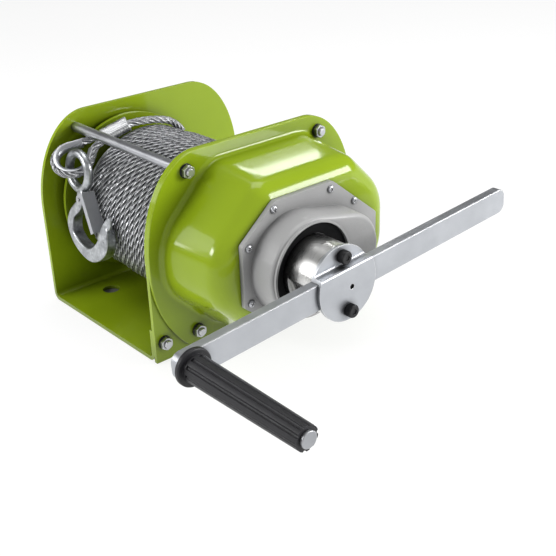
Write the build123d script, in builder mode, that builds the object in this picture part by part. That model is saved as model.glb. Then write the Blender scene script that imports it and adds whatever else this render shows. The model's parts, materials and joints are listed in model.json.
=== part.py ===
"""Hand winch: bent steel frame, rope drum, two-stage gear train, load brake and adjustable crank.

Millimetres. Origin at the centre of the base's bolt pattern on its underside, +Z up, +X along the
drum axis towards the crank, and the rope leaves towards -Y.
"""

import math
import os

from build123d import *

os.makedirs("parts", exist_ok=True)

# Frame
PLATE_HEIGHT = 200.0
PLATE_DEPTH = 258.0
FRAME_WIDTH = 193.2
PLATE = 4.0
SHOULDER_RUN = 62.0
SHOULDER_RISE = 95.0
BEND = 4.0
FLANGE_HEIGHT = 34.0
BASE_HOLE_R = 9.0
BASE_HOLE_SPAN_X = 128.0
BASE_HOLE_SPAN_Y = 156.0
FAR_X = -FRAME_WIDTH / 2
NEAR_X = FRAME_WIDTH / 2
INNER_X = NEAR_X - PLATE

# Shafts and their bushes
AXIS_Y = -25.0
AXIS_Z = 102.0
CENTRE_DISTANCE = 60.0
COUNTER_Y = AXIS_Y + CENTRE_DISTANCE
DRUM_SHAFT_R = 18.0
COUNTER_R = 10.0
COUNTER_END_R = 8.0
CRANK_R = 13.0
CRANK_THREAD_R = 11.0
CRANK_TAIL_R = 7.0
FIT = 0.05
DRUM_BUSH_R = 23.0
COUNTER_BUSH_R = 15.0
END_BUSH_R = 12.0
CRANK_BUSH_R = 18.0
BUSH_COLLAR = 5.0
BUSH_START = 88.0
BUSH_END = 100.0
BOSS_START = 158.0
BOSS_WALL = 6.0
CIRCLIP_X = (-101.4, -99.8)
CIRCLIP_R = 17.0

# Drum and rope
FLANGE_R = 85.0
DRUM_FLANGE = 4.0
DRUM_HALF = 81.0
BARREL_R = 50.0
BARREL_WALL = 6.0
ROPE = 8.0
ROPE_CENTRE_R = 74.0
ROPE_ROW = 18
ROPE_TURNS = 15
ROPE_END_BEND = 10.0
CORE_GAP = 0.4
CORE_STEP = 7.9

# Gears: module, teeth and face widths
CRANK_MODULE = 2.0
CRANK_TEETH = 14
INTERMEDIATE_TEETH = 46
DRUM_MODULE = 2.5
COUNTER_TEETH = 12
DRUM_TEETH = 36
PRESSURE_ANGLE = math.radians(25)
ADDENDUM = 0.8
DEDENDUM = 1.1
BACKLASH = 0.3
DRUM_GEAR_X = (104.0, 122.0)
COUNTER_PINION_X = (103.0, 123.0)
INTERMEDIATE_X = (137.0, 152.0)
CRANK_PINION_X = (136.0, 153.5)

# Gear cover, drawn from sheet in two stepped humps
SHEET = 3.0
HUMP_REAR_Y = 28.0
HUMP_1_R = 88.0
HUMP_1_TOP = 138.0
HUMP_1_EDGE = 11.0
HUMP_2_R = 71.0
HUMP_2_TOP = 173.0
HUMP_2_EDGE = 9.0
HUMP_DRAFT = 4.0
COVER_CORNER_R = 121.0
COVER_CORNER_TOP = 94.0
COVER_BOTTOM = 8.0

# Screws and tie rod
TIE_Y = 81.0
TIE_Z = 183.0
TIE_R = 5.0
LOW_SCREW_Z = 20.0
CORNER_SCREW_Y = 119.0
SCREW_R = 3.0
WASHER_R = 6.9
WASHER = 1.2
NUT_R = 6.5
NUT = 4.6
SCREW_TIP_R = 3.7
SCREW_HEAD = 8.0
SCREW_LENGTH = 20.0
SMALL_SCREW_R = 2.0
SMALL_HEAD_R = 3.5
SMALL_HEAD = 2.6
SMALL_LENGTH = 9.0

# Brake cover
BRAKE_FLANGE = 5.0
BRAKE_WALL = 3.5
DOME_FRONT_R = 50.0
DOME_REAR_R = 39.7
DOME_REAR_Y = 21.0
DOME_TOP = 205.0
DOME_DRAFT = 3.0
DOME_EDGE = 4.0
MOUTH_R = 44.0
MOUTH_LIP = 2.0
MOUTH_LIP_WALL = 2.0
BRAKE_MID_Z = 103.0
BRAKE_FACE = HUMP_2_TOP + BRAKE_FLANGE

# Load brake
PRESSURE_DISC_X = (177.0, 182.0)
FRICTION_INNER_X = (182.1, 184.6)
RATCHET_X = (184.7, 192.7)
FRICTION_OUTER_X = (192.8, 195.3)
HUB_FLANGE_X = (195.4, 199.4)
RATCHET_TEETH = 16
RATCHET_TIP_R = 41.0
RATCHET_ROOT_R = 36.0
RATCHET_FACE_ANGLE = -35.0
PAWL_REACH = 40.0
PAWL_PIN_R = 4.0
PAWL_EYE_R = 8.0
PAWL_SHOULDER_R = 6.0
PAWL_PIN_END = 200.0
PAWL_GAP = 0.4
DISC_R = 35.0
SLEEVE_R = 17.9
SPRING_WIRE = 1.2
SPRING_R = 5.6
SPRING_PITCH = 1.7
SPRING_TURNS = 3

# Crank
BAR_TILT = 4.0
HUB_R = 32.0
HUB_END = 237.0
HUB_FLAT = 29.0
HUB_FLAT_TURN = 200.0
SET_SCREW_R = 4.0
SET_SCREW_X = 222.0
BAR_WIDTH = 25.0
BAR_THICK = 9.0
BAR_FRONT = 180.0
BAR_REAR = 222.0
BAR_CORNER = 9.0
GRIP_AT = 167.0
CLAMP_R = 34.0
CLAMP = 3.0
CLAMP_BEND = 2.4
SLIDE_FIT = 0.15
SEAT_FIT = 0.2
CLAMP_SCREW_V = 24.0
CLAMP_HOLE_AT = (4.5, -3.5)
CLAMP_HOLE_R = 2.5
CLAMP_SCREW_R = 3.0
CLAMP_HEAD_R = 5.8
CLAMP_HEAD = 7.0
GRIP_FLANGE_R = 16.5
GRIP_FLANGE = 4.0
GRIP_END = 376.0
GRIP_ROOT_R = 12.2
GRIP_TIP_R = 10.4
GRIP_RIBS = 10
GRIP_FLUTE_R = 1.8
GRIP_PIN_R = 4.5
GRIP_PIN_HEAD_R = 7.0
GRIP_PIN_HEAD = 2.5

# Rope end: ferrule, eye and thimble
FERRULE_LENGTH = 30.0
FERRULE_R = 5.4
FERRULE_FRONT = Vector(-61.86, -68.35, 175.8)
FERRULE_RUN = Vector(-0.342, -0.868, -0.359).normalized()
ROPE_GRIPPED = 12.0
LEG_BEND_AT = 10.65
LEG_SPACING = 4.1
LOOP_R = 18.5
LOOP_CENTRE = Vector(-64, -104, 159.7)
LOOP_ACROSS = Vector(-0.9, -0.215, 0.375)
THIMBLE_END = 22.0
THIMBLE_GAP = 0.15
THIMBLE_WALL = 1.6
LEAD_CLEAR = 84.4
LEAD_TURNS = (8.5, 26.0)
LEAD_SHIFT = 5.0

# Hook
HOOK_AT = -66.0
HOOK_LIFT = 2.0
HOOK_EYE_R = 18.0
HOOK_WIRE_R = 4.5
HOOK_TURN = math.radians(2)
HOOK_TILT = math.radians(15)
HOOK_LEAN = math.radians(7)
HOOK_CORNER = 1.9
LATCH_PIVOT = (3.0, -28.0)
LATCH_SLANT = math.radians(15.6)
LATCH_LENGTH = 37.4
LATCH_REACH = 9.3
LATCH_EAR_R = 4.6
LATCH_WIDTH = 14.6
LATCH_DEPTH = 5.0
LATCH_SHEET = 1.2
LATCH_PIN_R = 1.8
LATCH_PIN_LENGTH = 16.6

# Planes: side plates (Y to the right, Z up), and the crank (along its bar, up)
side_plane = Plane.YZ
tilt = math.radians(BAR_TILT)
crank_plane = Plane((0, AXIS_Y, AXIS_Z), x_dir=(0, math.cos(tilt), math.sin(tilt)), z_dir=(1, 0, 0))


def save(builder, name):
    """Label the finished piece and write it."""
    builder.part.label = name
    export_step(builder.part, f"parts/{name}.step")


def polar(radius, degrees):
    """Point at a radius and an angle in the plane in use."""
    angle = math.radians(degrees)
    return (radius * math.cos(angle), radius * math.sin(angle))


def turned(name, axis_y, steps, bore=0.0):
    """Shaft, bush or disc about an X axis, from (start, end, radius) steps."""
    with BuildPart() as piece:
        for start, end, radius in steps:
            with BuildSketch(side_plane.offset(start)):
                with Locations((axis_y, AXIS_Z)):
                    Circle(radius)
                    if bore:
                        Circle(bore, mode=Mode.SUBTRACT)
            extrude(amount=end - start)
    save(piece, name)


def gear_points(module, teeth, first_angle):
    """Corners of an involute gear, each flank in three straight steps."""
    pitch_r = module * teeth / 2
    base_r = pitch_r * math.cos(PRESSURE_ANGLE)
    root_r = pitch_r - DEDENDUM * module
    tip_r = pitch_r + ADDENDUM * module
    half = math.pi / (2 * teeth) - BACKLASH / (4 * pitch_r)

    def involute(angle):
        return math.tan(angle) - angle

    def half_angle(radius):
        return half + involute(PRESSURE_ANGLE) - involute(math.acos(min(1.0, base_r / radius)))

    flank = [max(root_r, base_r) + 0.01, pitch_r, tip_r]
    rise = [(root_r, -half_angle(flank[0]))] + [(radius, -half_angle(radius)) for radius in flank]
    tooth = rise + [(radius, -angle) for radius, angle in reversed(rise)]
    points = []
    for index in range(teeth):
        middle = math.radians(first_angle) + 2 * math.pi * index / teeth
        points += [polar(radius, math.degrees(middle + angle)) for radius, angle in tooth]
    return points


def toothed(points, axis_y, start, end):
    """Adds a toothed body to the part in hand."""
    with BuildSketch(side_plane.offset(start)) as outline:
        with Locations((axis_y, AXIS_Z)):
            Polygon(*points, align=None)
    extrude(outline.sketch, amount=end - start)


def biarc(start, start_run, end, end_run):
    """Two arcs that leave start along start_run and reach end along end_run."""
    chord = end - start
    a = 2 * (start_run.dot(end_run) - 1)
    b = -2 * chord.dot(start_run + end_run)
    c = chord.dot(chord)
    if abs(a) < 1e-9:
        reach = -c / b
    else:
        reach = (-b - math.sqrt(b * b - 4 * a * c)) / (2 * a)
    first = start + start_run * abs(reach)
    second = end - end_run * abs(reach)
    middle = (first + second) * 0.5
    TangentArc(start, middle, tangent=start_run)
    TangentArc(middle, end, tangent=second - first)


def coil_state(origin, radius, pitch, turn):
    """Point and running direction of a coil about an X axis after so many turns."""
    angle = 2 * math.pi * turn
    point = origin + Vector(pitch * turn, radius * math.cos(angle), radius * math.sin(angle))
    run = Vector(pitch / (2 * math.pi), -radius * math.sin(angle), radius * math.cos(angle))
    return point, run.normalized()


def coil_arcs(origin, radius, pitch, turns):
    """Biarcs of half a turn each along a coil."""
    for half in range(2 * turns):
        start = coil_state(origin, radius, pitch, half / 2)
        end = coil_state(origin, radius, pitch, (half + 1) / 2)
        biarc(*start, *end)


def least_gap(path, turns, tube):
    """Smallest clear gap between neighbouring turns, measured on points."""
    steps = 24
    count = turns * steps
    points = [tuple(path.position_at(i / count)) for i in range(count + 1)]
    near = [(i, k) for i in range(count) for k in range(i + steps // 2, min(i + 2 * steps, count + 1))]
    return min(math.dist(points[i], points[k]) for i, k in near) - tube


# Outlines of the side plate and of the gear cover's flange
HALF_DEPTH = PLATE_DEPTH / 2
KNEE = PLATE_HEIGHT - SHOULDER_RISE


def plate_shoulder(low_z):
    """Front edge and rounded shoulder, from low_z up to the middle of the top edge."""
    shoulder_y = -HALF_DEPTH + SHOULDER_RUN
    Line((-HALF_DEPTH, low_z), (-HALF_DEPTH, KNEE))
    EllipticalCenterArc((shoulder_y, KNEE), SHOULDER_RUN, SHOULDER_RISE, 90, arc_size=90)
    Line((shoulder_y, PLATE_HEIGHT), (0, PLATE_HEIGHT))


with BuildSketch() as side_outline:
    with BuildLine():
        plate_shoulder(0)
        mirror(about=Plane.YZ)
        Line((-HALF_DEPTH, 0), (HALF_DEPTH, 0))
    make_face()

corner_drop = COVER_CORNER_TOP - COVER_BOTTOM
corner_y = -HALF_DEPTH + COVER_CORNER_R - math.sqrt(COVER_CORNER_R**2 - corner_drop**2)

with BuildSketch() as cover_outline:
    with BuildLine():
        plate_shoulder(COVER_CORNER_TOP)
        TangentArc((-HALF_DEPTH, COVER_CORNER_TOP), (corner_y, COVER_BOTTOM), tangent=(0, -1))
        mirror(about=Plane.YZ)
        Line((corner_y, COVER_BOTTOM), (-corner_y, COVER_BOTTOM))
    make_face()

tie_at = (-TIE_Y, TIE_Z)
top_points = [tie_at, (TIE_Y, TIE_Z)]
low_points = [(-TIE_Y, LOW_SCREW_Z), (TIE_Y, LOW_SCREW_Z)]
corner_points = [(-CORNER_SCREW_Y, LOW_SCREW_Z), (CORNER_SCREW_Y, LOW_SCREW_Z)]

# Frame: far side plate, base and a low flange, bent from one plate
FLANGE_X = INNER_X - PLATE

with BuildPart() as frame:
    with BuildSketch(Plane.XZ) as bent_section:
        Polygon(
            (FAR_X, PLATE_HEIGHT),
            (FAR_X, 0),
            (INNER_X, 0),
            (INNER_X, FLANGE_HEIGHT),
            (FLANGE_X, FLANGE_HEIGHT),
            (FLANGE_X, PLATE),
            (FAR_X + PLATE, PLATE),
            (FAR_X + PLATE, PLATE_HEIGHT),
            align=None,
        )
        fillet(bent_section.vertices().filter_by_position(Axis.Y, -1, 1), BEND + PLATE)
        fillet(bent_section.vertices().filter_by_position(Axis.Y, PLATE - 0.1, PLATE + 0.1), BEND)
    extrude(amount=HALF_DEPTH, both=True)
    with BuildSketch(side_plane.offset(FAR_X)):
        add(side_outline.sketch)
    extrude(amount=FRAME_WIDTH, mode=Mode.INTERSECT)
    with GridLocations(BASE_HOLE_SPAN_X, BASE_HOLE_SPAN_Y, 2, 2):
        Cylinder(BASE_HOLE_R, 4 * PLATE, mode=Mode.SUBTRACT)
    with BuildSketch(side_plane.offset(FAR_X)):
        with Locations((AXIS_Y, AXIS_Z)):
            Circle(DRUM_BUSH_R)
        with Locations(tie_at):
            Circle(SCREW_R)
    extrude(amount=PLATE, mode=Mode.SUBTRACT)
    with BuildSketch(side_plane.offset(FLANGE_X)):
        with Locations(*low_points, *corner_points):
            Circle(SCREW_R)
    extrude(amount=PLATE, mode=Mode.SUBTRACT)
save(frame, "frame")

# Side plate on the crank side
with BuildPart() as gear_side_plate:
    with BuildSketch(side_plane.offset(INNER_X)):
        add(side_outline.sketch)
        with Locations((AXIS_Y, AXIS_Z)):
            Circle(DRUM_BUSH_R, mode=Mode.SUBTRACT)
        with Locations((COUNTER_Y, AXIS_Z)):
            Circle(COUNTER_BUSH_R, mode=Mode.SUBTRACT)
        with Locations(*top_points, *low_points, *corner_points):
            Circle(SCREW_R, mode=Mode.SUBTRACT)
    extrude(amount=PLATE)
save(gear_side_plate, "gear_side_plate")


# Gear cover: a flange and two stepped humps, hollow inside, with bosses for the outer bushes
def humps(inset):
    """Stepped form of the cover, moved inwards by inset."""
    hump_span = HUMP_REAR_Y - AXIS_Y
    hump_mid = ((HUMP_REAR_Y + AXIS_Y) / 2, AXIS_Z)
    with BuildPart() as form:
        with BuildSketch(side_plane.offset(NEAR_X)):
            with Locations(hump_mid):
                SlotCenterToCenter(hump_span, 2 * (HUMP_1_R - inset))
        extrude(amount=HUMP_1_TOP - NEAR_X - inset, taper=HUMP_DRAFT)
        fillet(form.faces().sort_by(Axis.X)[-1].edges(), HUMP_1_EDGE - inset)
        with BuildSketch(side_plane.offset(HUMP_1_TOP - inset)):
            with Locations(hump_mid):
                SlotCenterToCenter(hump_span, 2 * (HUMP_2_R - inset))
        extrude(amount=HUMP_2_TOP - HUMP_1_TOP, taper=HUMP_DRAFT)
        fillet(form.faces().sort_by(Axis.X)[-1].edges(), HUMP_2_EDGE - inset)
    return form.part


cover_form = humps(0)
cover_void = humps(SHEET)

screws_above = [(-76, 130), (-46, 158), (23, 158), (54, 138)]
brake_screw_points = screws_above + [(y, 2 * BRAKE_MID_Z - z) for y, z in screws_above]
pawl_contact = polar((RATCHET_TIP_R + RATCHET_ROOT_R) / 2, RATCHET_FACE_ANGLE)
pawl_run = polar(PAWL_REACH, RATCHET_FACE_ANGLE + 90)
pawl_pin_at = (AXIS_Y + pawl_contact[0] + pawl_run[0], AXIS_Z + pawl_contact[1] + pawl_run[1])

with BuildPart() as gear_cover:
    with BuildSketch(side_plane.offset(NEAR_X)):
        add(cover_outline.sketch)
    extrude(amount=SHEET)
    add(cover_form)
    add(cover_void, mode=Mode.SUBTRACT)
    with BuildSketch(side_plane.offset(BOSS_START)):
        with Locations((AXIS_Y, AXIS_Z)):
            Circle(CRANK_BUSH_R + BOSS_WALL)
        with Locations((COUNTER_Y, AXIS_Z)):
            Circle(END_BUSH_R + BOSS_WALL)
    extrude(amount=HUMP_2_TOP - BOSS_START)
    with BuildSketch(side_plane.offset(BOSS_START)):
        with Locations((AXIS_Y, AXIS_Z)):
            Circle(CRANK_BUSH_R)
    extrude(amount=HUMP_2_TOP - BOSS_START, mode=Mode.SUBTRACT)
    with BuildSketch(side_plane.offset(HUMP_2_TOP)):
        with Locations(pawl_pin_at):
            Circle(PAWL_PIN_R)
    extrude(amount=-SHEET, mode=Mode.SUBTRACT)
    with BuildSketch(side_plane.offset(HUMP_2_TOP)):
        with Locations(*brake_screw_points):
            Circle(SMALL_SCREW_R)
    extrude(amount=-SMALL_LENGTH, mode=Mode.SUBTRACT)
    with BuildSketch(side_plane.offset(BOSS_START)):
        with Locations((COUNTER_Y, AXIS_Z)):
            Circle(END_BUSH_R)
    extrude(amount=HUMP_2_TOP - SHEET - BOSS_START, mode=Mode.SUBTRACT)
    with BuildSketch(side_plane.offset(NEAR_X)):
        with Locations(*top_points, *low_points):
            Circle(SCREW_R)
    extrude(amount=SHEET, mode=Mode.SUBTRACT)
save(gear_cover, "gear_cover")


# Brake cover: eight-sided flange under a drawn-out dome with a round mouth
hull_angle = math.degrees(math.acos((DOME_FRONT_R - DOME_REAR_R) / (DOME_REAR_Y - AXIS_Y)))


def dome(inset, start, end):
    """Tapered body round the brake and its pawl, moved inwards by inset."""
    with BuildPart() as form:
        with BuildSketch(side_plane.offset(start)):
            with BuildLine():
                front = CenterArc((AXIS_Y, AXIS_Z), DOME_FRONT_R - inset, hull_angle, 360 - 2 * hull_angle)
                rear = CenterArc((DOME_REAR_Y, AXIS_Z), DOME_REAR_R - inset, -hull_angle, 2 * hull_angle)
                Line(front @ 1, rear @ 0)
                Line(rear @ 1, front @ 0)
            make_face()
        extrude(amount=end - start, taper=DOME_DRAFT)
        fillet(form.faces().sort_by(Axis.X)[-1].edges(), DOME_EDGE - inset / 2)
    return form.part


dome_form = dome(0, HUMP_2_TOP, DOME_TOP)
dome_void = dome(BRAKE_WALL, HUMP_2_TOP, DOME_TOP - BRAKE_WALL)
flange_top = [(-83, 133), (-44, 165), (26, 165), (84, 118)]
flange_low = [(y, 2 * BRAKE_MID_Z - z) for y, z in reversed(flange_top)]

with BuildPart() as brake_cover:
    with BuildSketch(side_plane.offset(HUMP_2_TOP)):
        Polygon(*flange_top, *flange_low, align=None)
    extrude(amount=BRAKE_FLANGE)
    fillet(brake_cover.edges().filter_by(Axis.X), 4)
    add(dome_form)
    with BuildSketch(side_plane.offset(DOME_TOP - BRAKE_WALL)):
        with Locations((AXIS_Y, AXIS_Z)):
            Circle(MOUTH_R + MOUTH_LIP_WALL)
    extrude(amount=BRAKE_WALL + MOUTH_LIP)
    add(dome_void, mode=Mode.SUBTRACT)
    with BuildSketch(side_plane.offset(HUMP_2_TOP)):
        with Locations((AXIS_Y, AXIS_Z)):
            Circle(MOUTH_R)
        with Locations(*brake_screw_points):
            Circle(SMALL_SCREW_R)
    extrude(amount=DOME_TOP + MOUTH_LIP - HUMP_2_TOP, mode=Mode.SUBTRACT)
save(brake_cover, "brake_cover")

# Seal ring in the mouth of the brake cover, with a sloping front
SEAL_X = (199.9, 204.0)
SEAL_R = HUB_R + 0.8

with BuildPart() as cover_seal:
    with BuildSketch(Plane.XZ.offset(-AXIS_Y)):
        with Locations((0, AXIS_Z)):
            Polygon(
                (SEAL_X[0], SEAL_R),
                (SEAL_X[0], MOUTH_R),
                (SEAL_X[1], MOUTH_R),
                (SEAL_X[1], MOUTH_R - 3),
                (SEAL_X[0] + 1.5, SEAL_R),
                align=None,
            )
    revolve(axis=Axis((0, AXIS_Y, AXIS_Z), (1, 0, 0)))
save(cover_seal, "cover_seal")


# Fasteners
def pan_screw(shank_r, length, head_r, head):
    """Screw with its seat at the origin, pointing down, under a domed round head."""
    with BuildPart() as screw:
        Cylinder(head_r, head, align=(Align.CENTER, Align.CENTER, Align.MIN))
        fillet(screw.faces().sort_by(Axis.Z)[-1].edges(), 0.6 * head)
        Cylinder(shank_r, length, align=(Align.CENTER, Align.CENTER, Align.MAX))
    return screw.part


def nut_screw(length):
    """Screw with its seat at the origin, pointing down, under a washer and a nut that its end stands out of."""
    with BuildPart() as screw:
        Cylinder(WASHER_R, WASHER, align=(Align.CENTER, Align.CENTER, Align.MIN))
        with BuildSketch(Plane.XY.offset(WASHER)):
            RegularPolygon(NUT_R, 6)
        extrude(amount=NUT)
        Cylinder(SCREW_TIP_R, SCREW_HEAD, align=(Align.CENTER, Align.CENTER, Align.MIN))
        chamfer(screw.faces().sort_by(Axis.Z)[-1].edges(), 0.6)
        Cylinder(SCREW_R, length, align=(Align.CENTER, Align.CENTER, Align.MAX))
    return screw.part


def screw_group(name, plane, seats):
    """Screws seated on one plane, each given with its point."""
    with BuildPart(plane) as group:
        for screw, at in seats:
            with Locations(at):
                add(screw)
    save(group, name)


far_plane = Plane((FAR_X, 0, 0), x_dir=(0, 1, 0), z_dir=(-1, 0, 0))
cover_plane = side_plane.offset(NEAR_X + SHEET)
tie_screw = nut_screw(SCREW_LENGTH)
plate_screw = nut_screw(SHEET + 2 * PLATE)
cover_screw = pan_screw(SMALL_SCREW_R, SMALL_LENGTH, SMALL_HEAD_R, SMALL_HEAD)
screw_group("cover_top_screws", cover_plane, list(zip((tie_screw, plate_screw), top_points)))
screw_group("far_tie_rod_screw", far_plane, [(tie_screw, (tie_at[0], -tie_at[1]))])
screw_group("cover_bottom_screws", cover_plane, [(plate_screw, at) for at in low_points])
screw_group("corner_screws", side_plane.offset(NEAR_X), [(plate_screw, at) for at in corner_points])
screw_group("brake_cover_screws", side_plane.offset(BRAKE_FACE), [(cover_screw, at) for at in brake_screw_points])

# Tie rod with tapped ends
with BuildPart() as tie_rod:
    with BuildSketch(side_plane.offset(FAR_X + PLATE)):
        with Locations(tie_at):
            Circle(TIE_R)
    extrude(amount=FRAME_WIDTH - 2 * PLATE)
    for end_x in (FAR_X + PLATE, INNER_X - SCREW_LENGTH):
        with BuildSketch(side_plane.offset(end_x)):
            with Locations(tie_at):
                Circle(SCREW_R)
        extrude(amount=SCREW_LENGTH, mode=Mode.SUBTRACT)
save(tie_rod, "tie_rod")

# Drum: barrel, flanges, shaft and gear
BARREL_END = DRUM_HALF + DRUM_FLANGE
turned("drum_flange_far", AXIS_Y, [(-BARREL_END, -DRUM_HALF, FLANGE_R)], bore=DRUM_SHAFT_R)
turned("drum_flange_near", AXIS_Y, [(DRUM_HALF, BARREL_END, FLANGE_R)], bore=DRUM_SHAFT_R)
turned("drum_barrel", AXIS_Y, [(-DRUM_HALF, DRUM_HALF, BARREL_R)], bore=BARREL_R - BARREL_WALL)
wind_pitch = (2 * DRUM_HALF - ROPE - 4 * CORE_GAP) / ROPE_ROW
wind_start_x = DRUM_HALF - ROPE / 2 - 2 * CORE_GAP - ROPE_TURNS * wind_pitch
core_r = ROPE_CENTRE_R - ROPE / 2 - CORE_GAP
core_step_x = wind_start_x - ROPE / 2
turned(
    "rope_core",
    AXIS_Y,
    [
        (-DRUM_HALF + CORE_GAP, core_step_x, core_r - CORE_STEP),
        (core_step_x, DRUM_HALF - CORE_GAP, core_r),
    ],
    bore=BARREL_R,
)
collar_r = DRUM_BUSH_R + BUSH_COLLAR
bush_bore = DRUM_SHAFT_R + FIT
turned(
    "drum_bush_far",
    AXIS_Y,
    [(FAR_X - 2, FAR_X + PLATE, DRUM_BUSH_R), (FAR_X + PLATE, -BUSH_START, collar_r)],
    bore=bush_bore,
)
turned(
    "drum_bush_near",
    AXIS_Y,
    [(BUSH_START, INNER_X, collar_r), (INNER_X, BUSH_END, DRUM_BUSH_R)],
    bore=bush_bore,
)

SHAFT_END = 124.0
TAIL_BORE_R = 10.0
TAIL_BORE_START = 106.0

with BuildPart() as drum_shaft:
    for start, end, radius in [
        (-105.0, CIRCLIP_X[0], DRUM_SHAFT_R),
        (CIRCLIP_X[0], CIRCLIP_X[1], CIRCLIP_R),
        (CIRCLIP_X[1], SHAFT_END, DRUM_SHAFT_R),
    ]:
        with BuildSketch(side_plane.offset(start)):
            with Locations((AXIS_Y, AXIS_Z)):
                Circle(radius)
        extrude(amount=end - start)
    with BuildSketch(side_plane.offset(TAIL_BORE_START)):
        with Locations((AXIS_Y, AXIS_Z)):
            Circle(TAIL_BORE_R)
    extrude(amount=SHAFT_END - TAIL_BORE_START, mode=Mode.SUBTRACT)
save(drum_shaft, "drum_shaft")

with BuildPart() as drum_circlip:
    with BuildSketch(side_plane.offset(CIRCLIP_X[0])):
        with Locations((AXIS_Y, AXIS_Z)):
            Circle(DRUM_SHAFT_R + 4)
            Circle(CIRCLIP_R, mode=Mode.SUBTRACT)
        with Locations((AXIS_Y, AXIS_Z - DRUM_SHAFT_R)):
            Rectangle(DRUM_SHAFT_R, DRUM_SHAFT_R, mode=Mode.SUBTRACT)
    extrude(amount=CIRCLIP_X[1] - CIRCLIP_X[0])
save(drum_circlip, "drum_circlip")

with BuildPart() as drum_gear:
    toothed(gear_points(DRUM_MODULE, DRUM_TEETH, 0), AXIS_Y, *DRUM_GEAR_X)
    with BuildSketch(side_plane.offset(DRUM_GEAR_X[0])):
        with Locations((AXIS_Y, AXIS_Z)):
            Circle(DRUM_SHAFT_R)
            with PolarLocations(30, 6):
                Circle(5)
    extrude(amount=DRUM_GEAR_X[1] - DRUM_GEAR_X[0], mode=Mode.SUBTRACT)
save(drum_gear, "drum_gear")

# Countershaft with its pinion, and the intermediate gear on it
counter_pitch = 360 / COUNTER_TEETH
with BuildPart() as countershaft:
    toothed(gear_points(DRUM_MODULE, COUNTER_TEETH, counter_pitch / 2), COUNTER_Y, *COUNTER_PINION_X)
    for start, end, radius in [
        (BUSH_START, COUNTER_PINION_X[0], COUNTER_R),
        (COUNTER_PINION_X[1], INTERMEDIATE_X[1] + 3, COUNTER_R),
        (INTERMEDIATE_X[1] + 3, HUMP_2_TOP - SHEET - 1, COUNTER_END_R),
    ]:
        with BuildSketch(side_plane.offset(start)):
            with Locations((COUNTER_Y, AXIS_Z)):
                Circle(radius)
        extrude(amount=end - start)
save(countershaft, "countershaft")

intermediate_pitch = 360 / INTERMEDIATE_TEETH
with BuildPart() as intermediate_gear:
    toothed(gear_points(CRANK_MODULE, INTERMEDIATE_TEETH, intermediate_pitch / 2), COUNTER_Y, *INTERMEDIATE_X)
    with BuildSketch(side_plane.offset(INTERMEDIATE_X[0])):
        with Locations((COUNTER_Y, AXIS_Z)):
            Circle(COUNTER_R)
            with PolarLocations(27, 6):
                Circle(7)
    extrude(amount=INTERMEDIATE_X[1] - INTERMEDIATE_X[0], mode=Mode.SUBTRACT)
save(intermediate_gear, "intermediate_gear")

turned(
    "countershaft_bush_inner",
    COUNTER_Y,
    [(BUSH_START, INNER_X, COUNTER_BUSH_R + BUSH_COLLAR), (INNER_X, BUSH_END, COUNTER_BUSH_R)],
    bore=COUNTER_R + FIT,
)
turned(
    "countershaft_bush_outer",
    COUNTER_Y,
    [(BOSS_START, HUMP_2_TOP - SHEET, END_BUSH_R)],
    bore=COUNTER_END_R + FIT,
)

# Crank shaft with its pinion, carried in the end of the drum shaft and in the cover
CRANK_TAIL_START = 107.0
THREAD_END = 230.0
with BuildPart() as crank_shaft:
    toothed(gear_points(CRANK_MODULE, CRANK_TEETH, 0), AXIS_Y, *CRANK_PINION_X)
    for start, end, radius in [
        (CRANK_TAIL_START, SHAFT_END + 1, CRANK_TAIL_R),
        (SHAFT_END + 1, CRANK_PINION_X[0], CRANK_THREAD_R),
        (CRANK_PINION_X[1], PRESSURE_DISC_X[1], CRANK_R),
        (PRESSURE_DISC_X[1], THREAD_END, CRANK_THREAD_R),
    ]:
        with BuildSketch(side_plane.offset(start)):
            with Locations((AXIS_Y, AXIS_Z)):
                Circle(radius)
        extrude(amount=end - start)
save(crank_shaft, "crank_shaft")
turned(
    "crank_bush_inner",
    AXIS_Y,
    [(TAIL_BORE_START + 0.5, SHAFT_END, TAIL_BORE_R)],
    bore=CRANK_TAIL_R + FIT,
)
turned(
    "crank_bush_outer",
    AXIS_Y,
    [(BOSS_START - 1, HUMP_2_TOP + 2, CRANK_BUSH_R)],
    bore=CRANK_R + FIT,
)

# Load brake: pressure disc, friction discs, ratchet wheel and pawl
turned("pressure_disc", AXIS_Y, [(*PRESSURE_DISC_X, DISC_R + 1)], bore=CRANK_R)
turned("friction_disc_inner", AXIS_Y, [(*FRICTION_INNER_X, DISC_R)], bore=SLEEVE_R + 2)
turned("friction_disc_outer", AXIS_Y, [(*FRICTION_OUTER_X, DISC_R)], bore=SLEEVE_R + 2)

ratchet_pitch = 360 / RATCHET_TEETH
ratchet_points = []
for index in range(RATCHET_TEETH):
    face_angle = RATCHET_FACE_ANGLE + index * ratchet_pitch
    ratchet_points.append(polar(RATCHET_ROOT_R, face_angle - ratchet_pitch))
    ratchet_points.append(polar(RATCHET_TIP_R, face_angle))

with BuildPart() as ratchet_wheel:
    toothed(ratchet_points, AXIS_Y, *RATCHET_X)
    with BuildSketch(side_plane.offset(RATCHET_X[0])):
        with Locations((AXIS_Y, AXIS_Z)):
            Circle(SLEEVE_R + FIT)
    extrude(amount=RATCHET_X[1] - RATCHET_X[0], mode=Mode.SUBTRACT)
save(ratchet_wheel, "ratchet_wheel")

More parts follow.
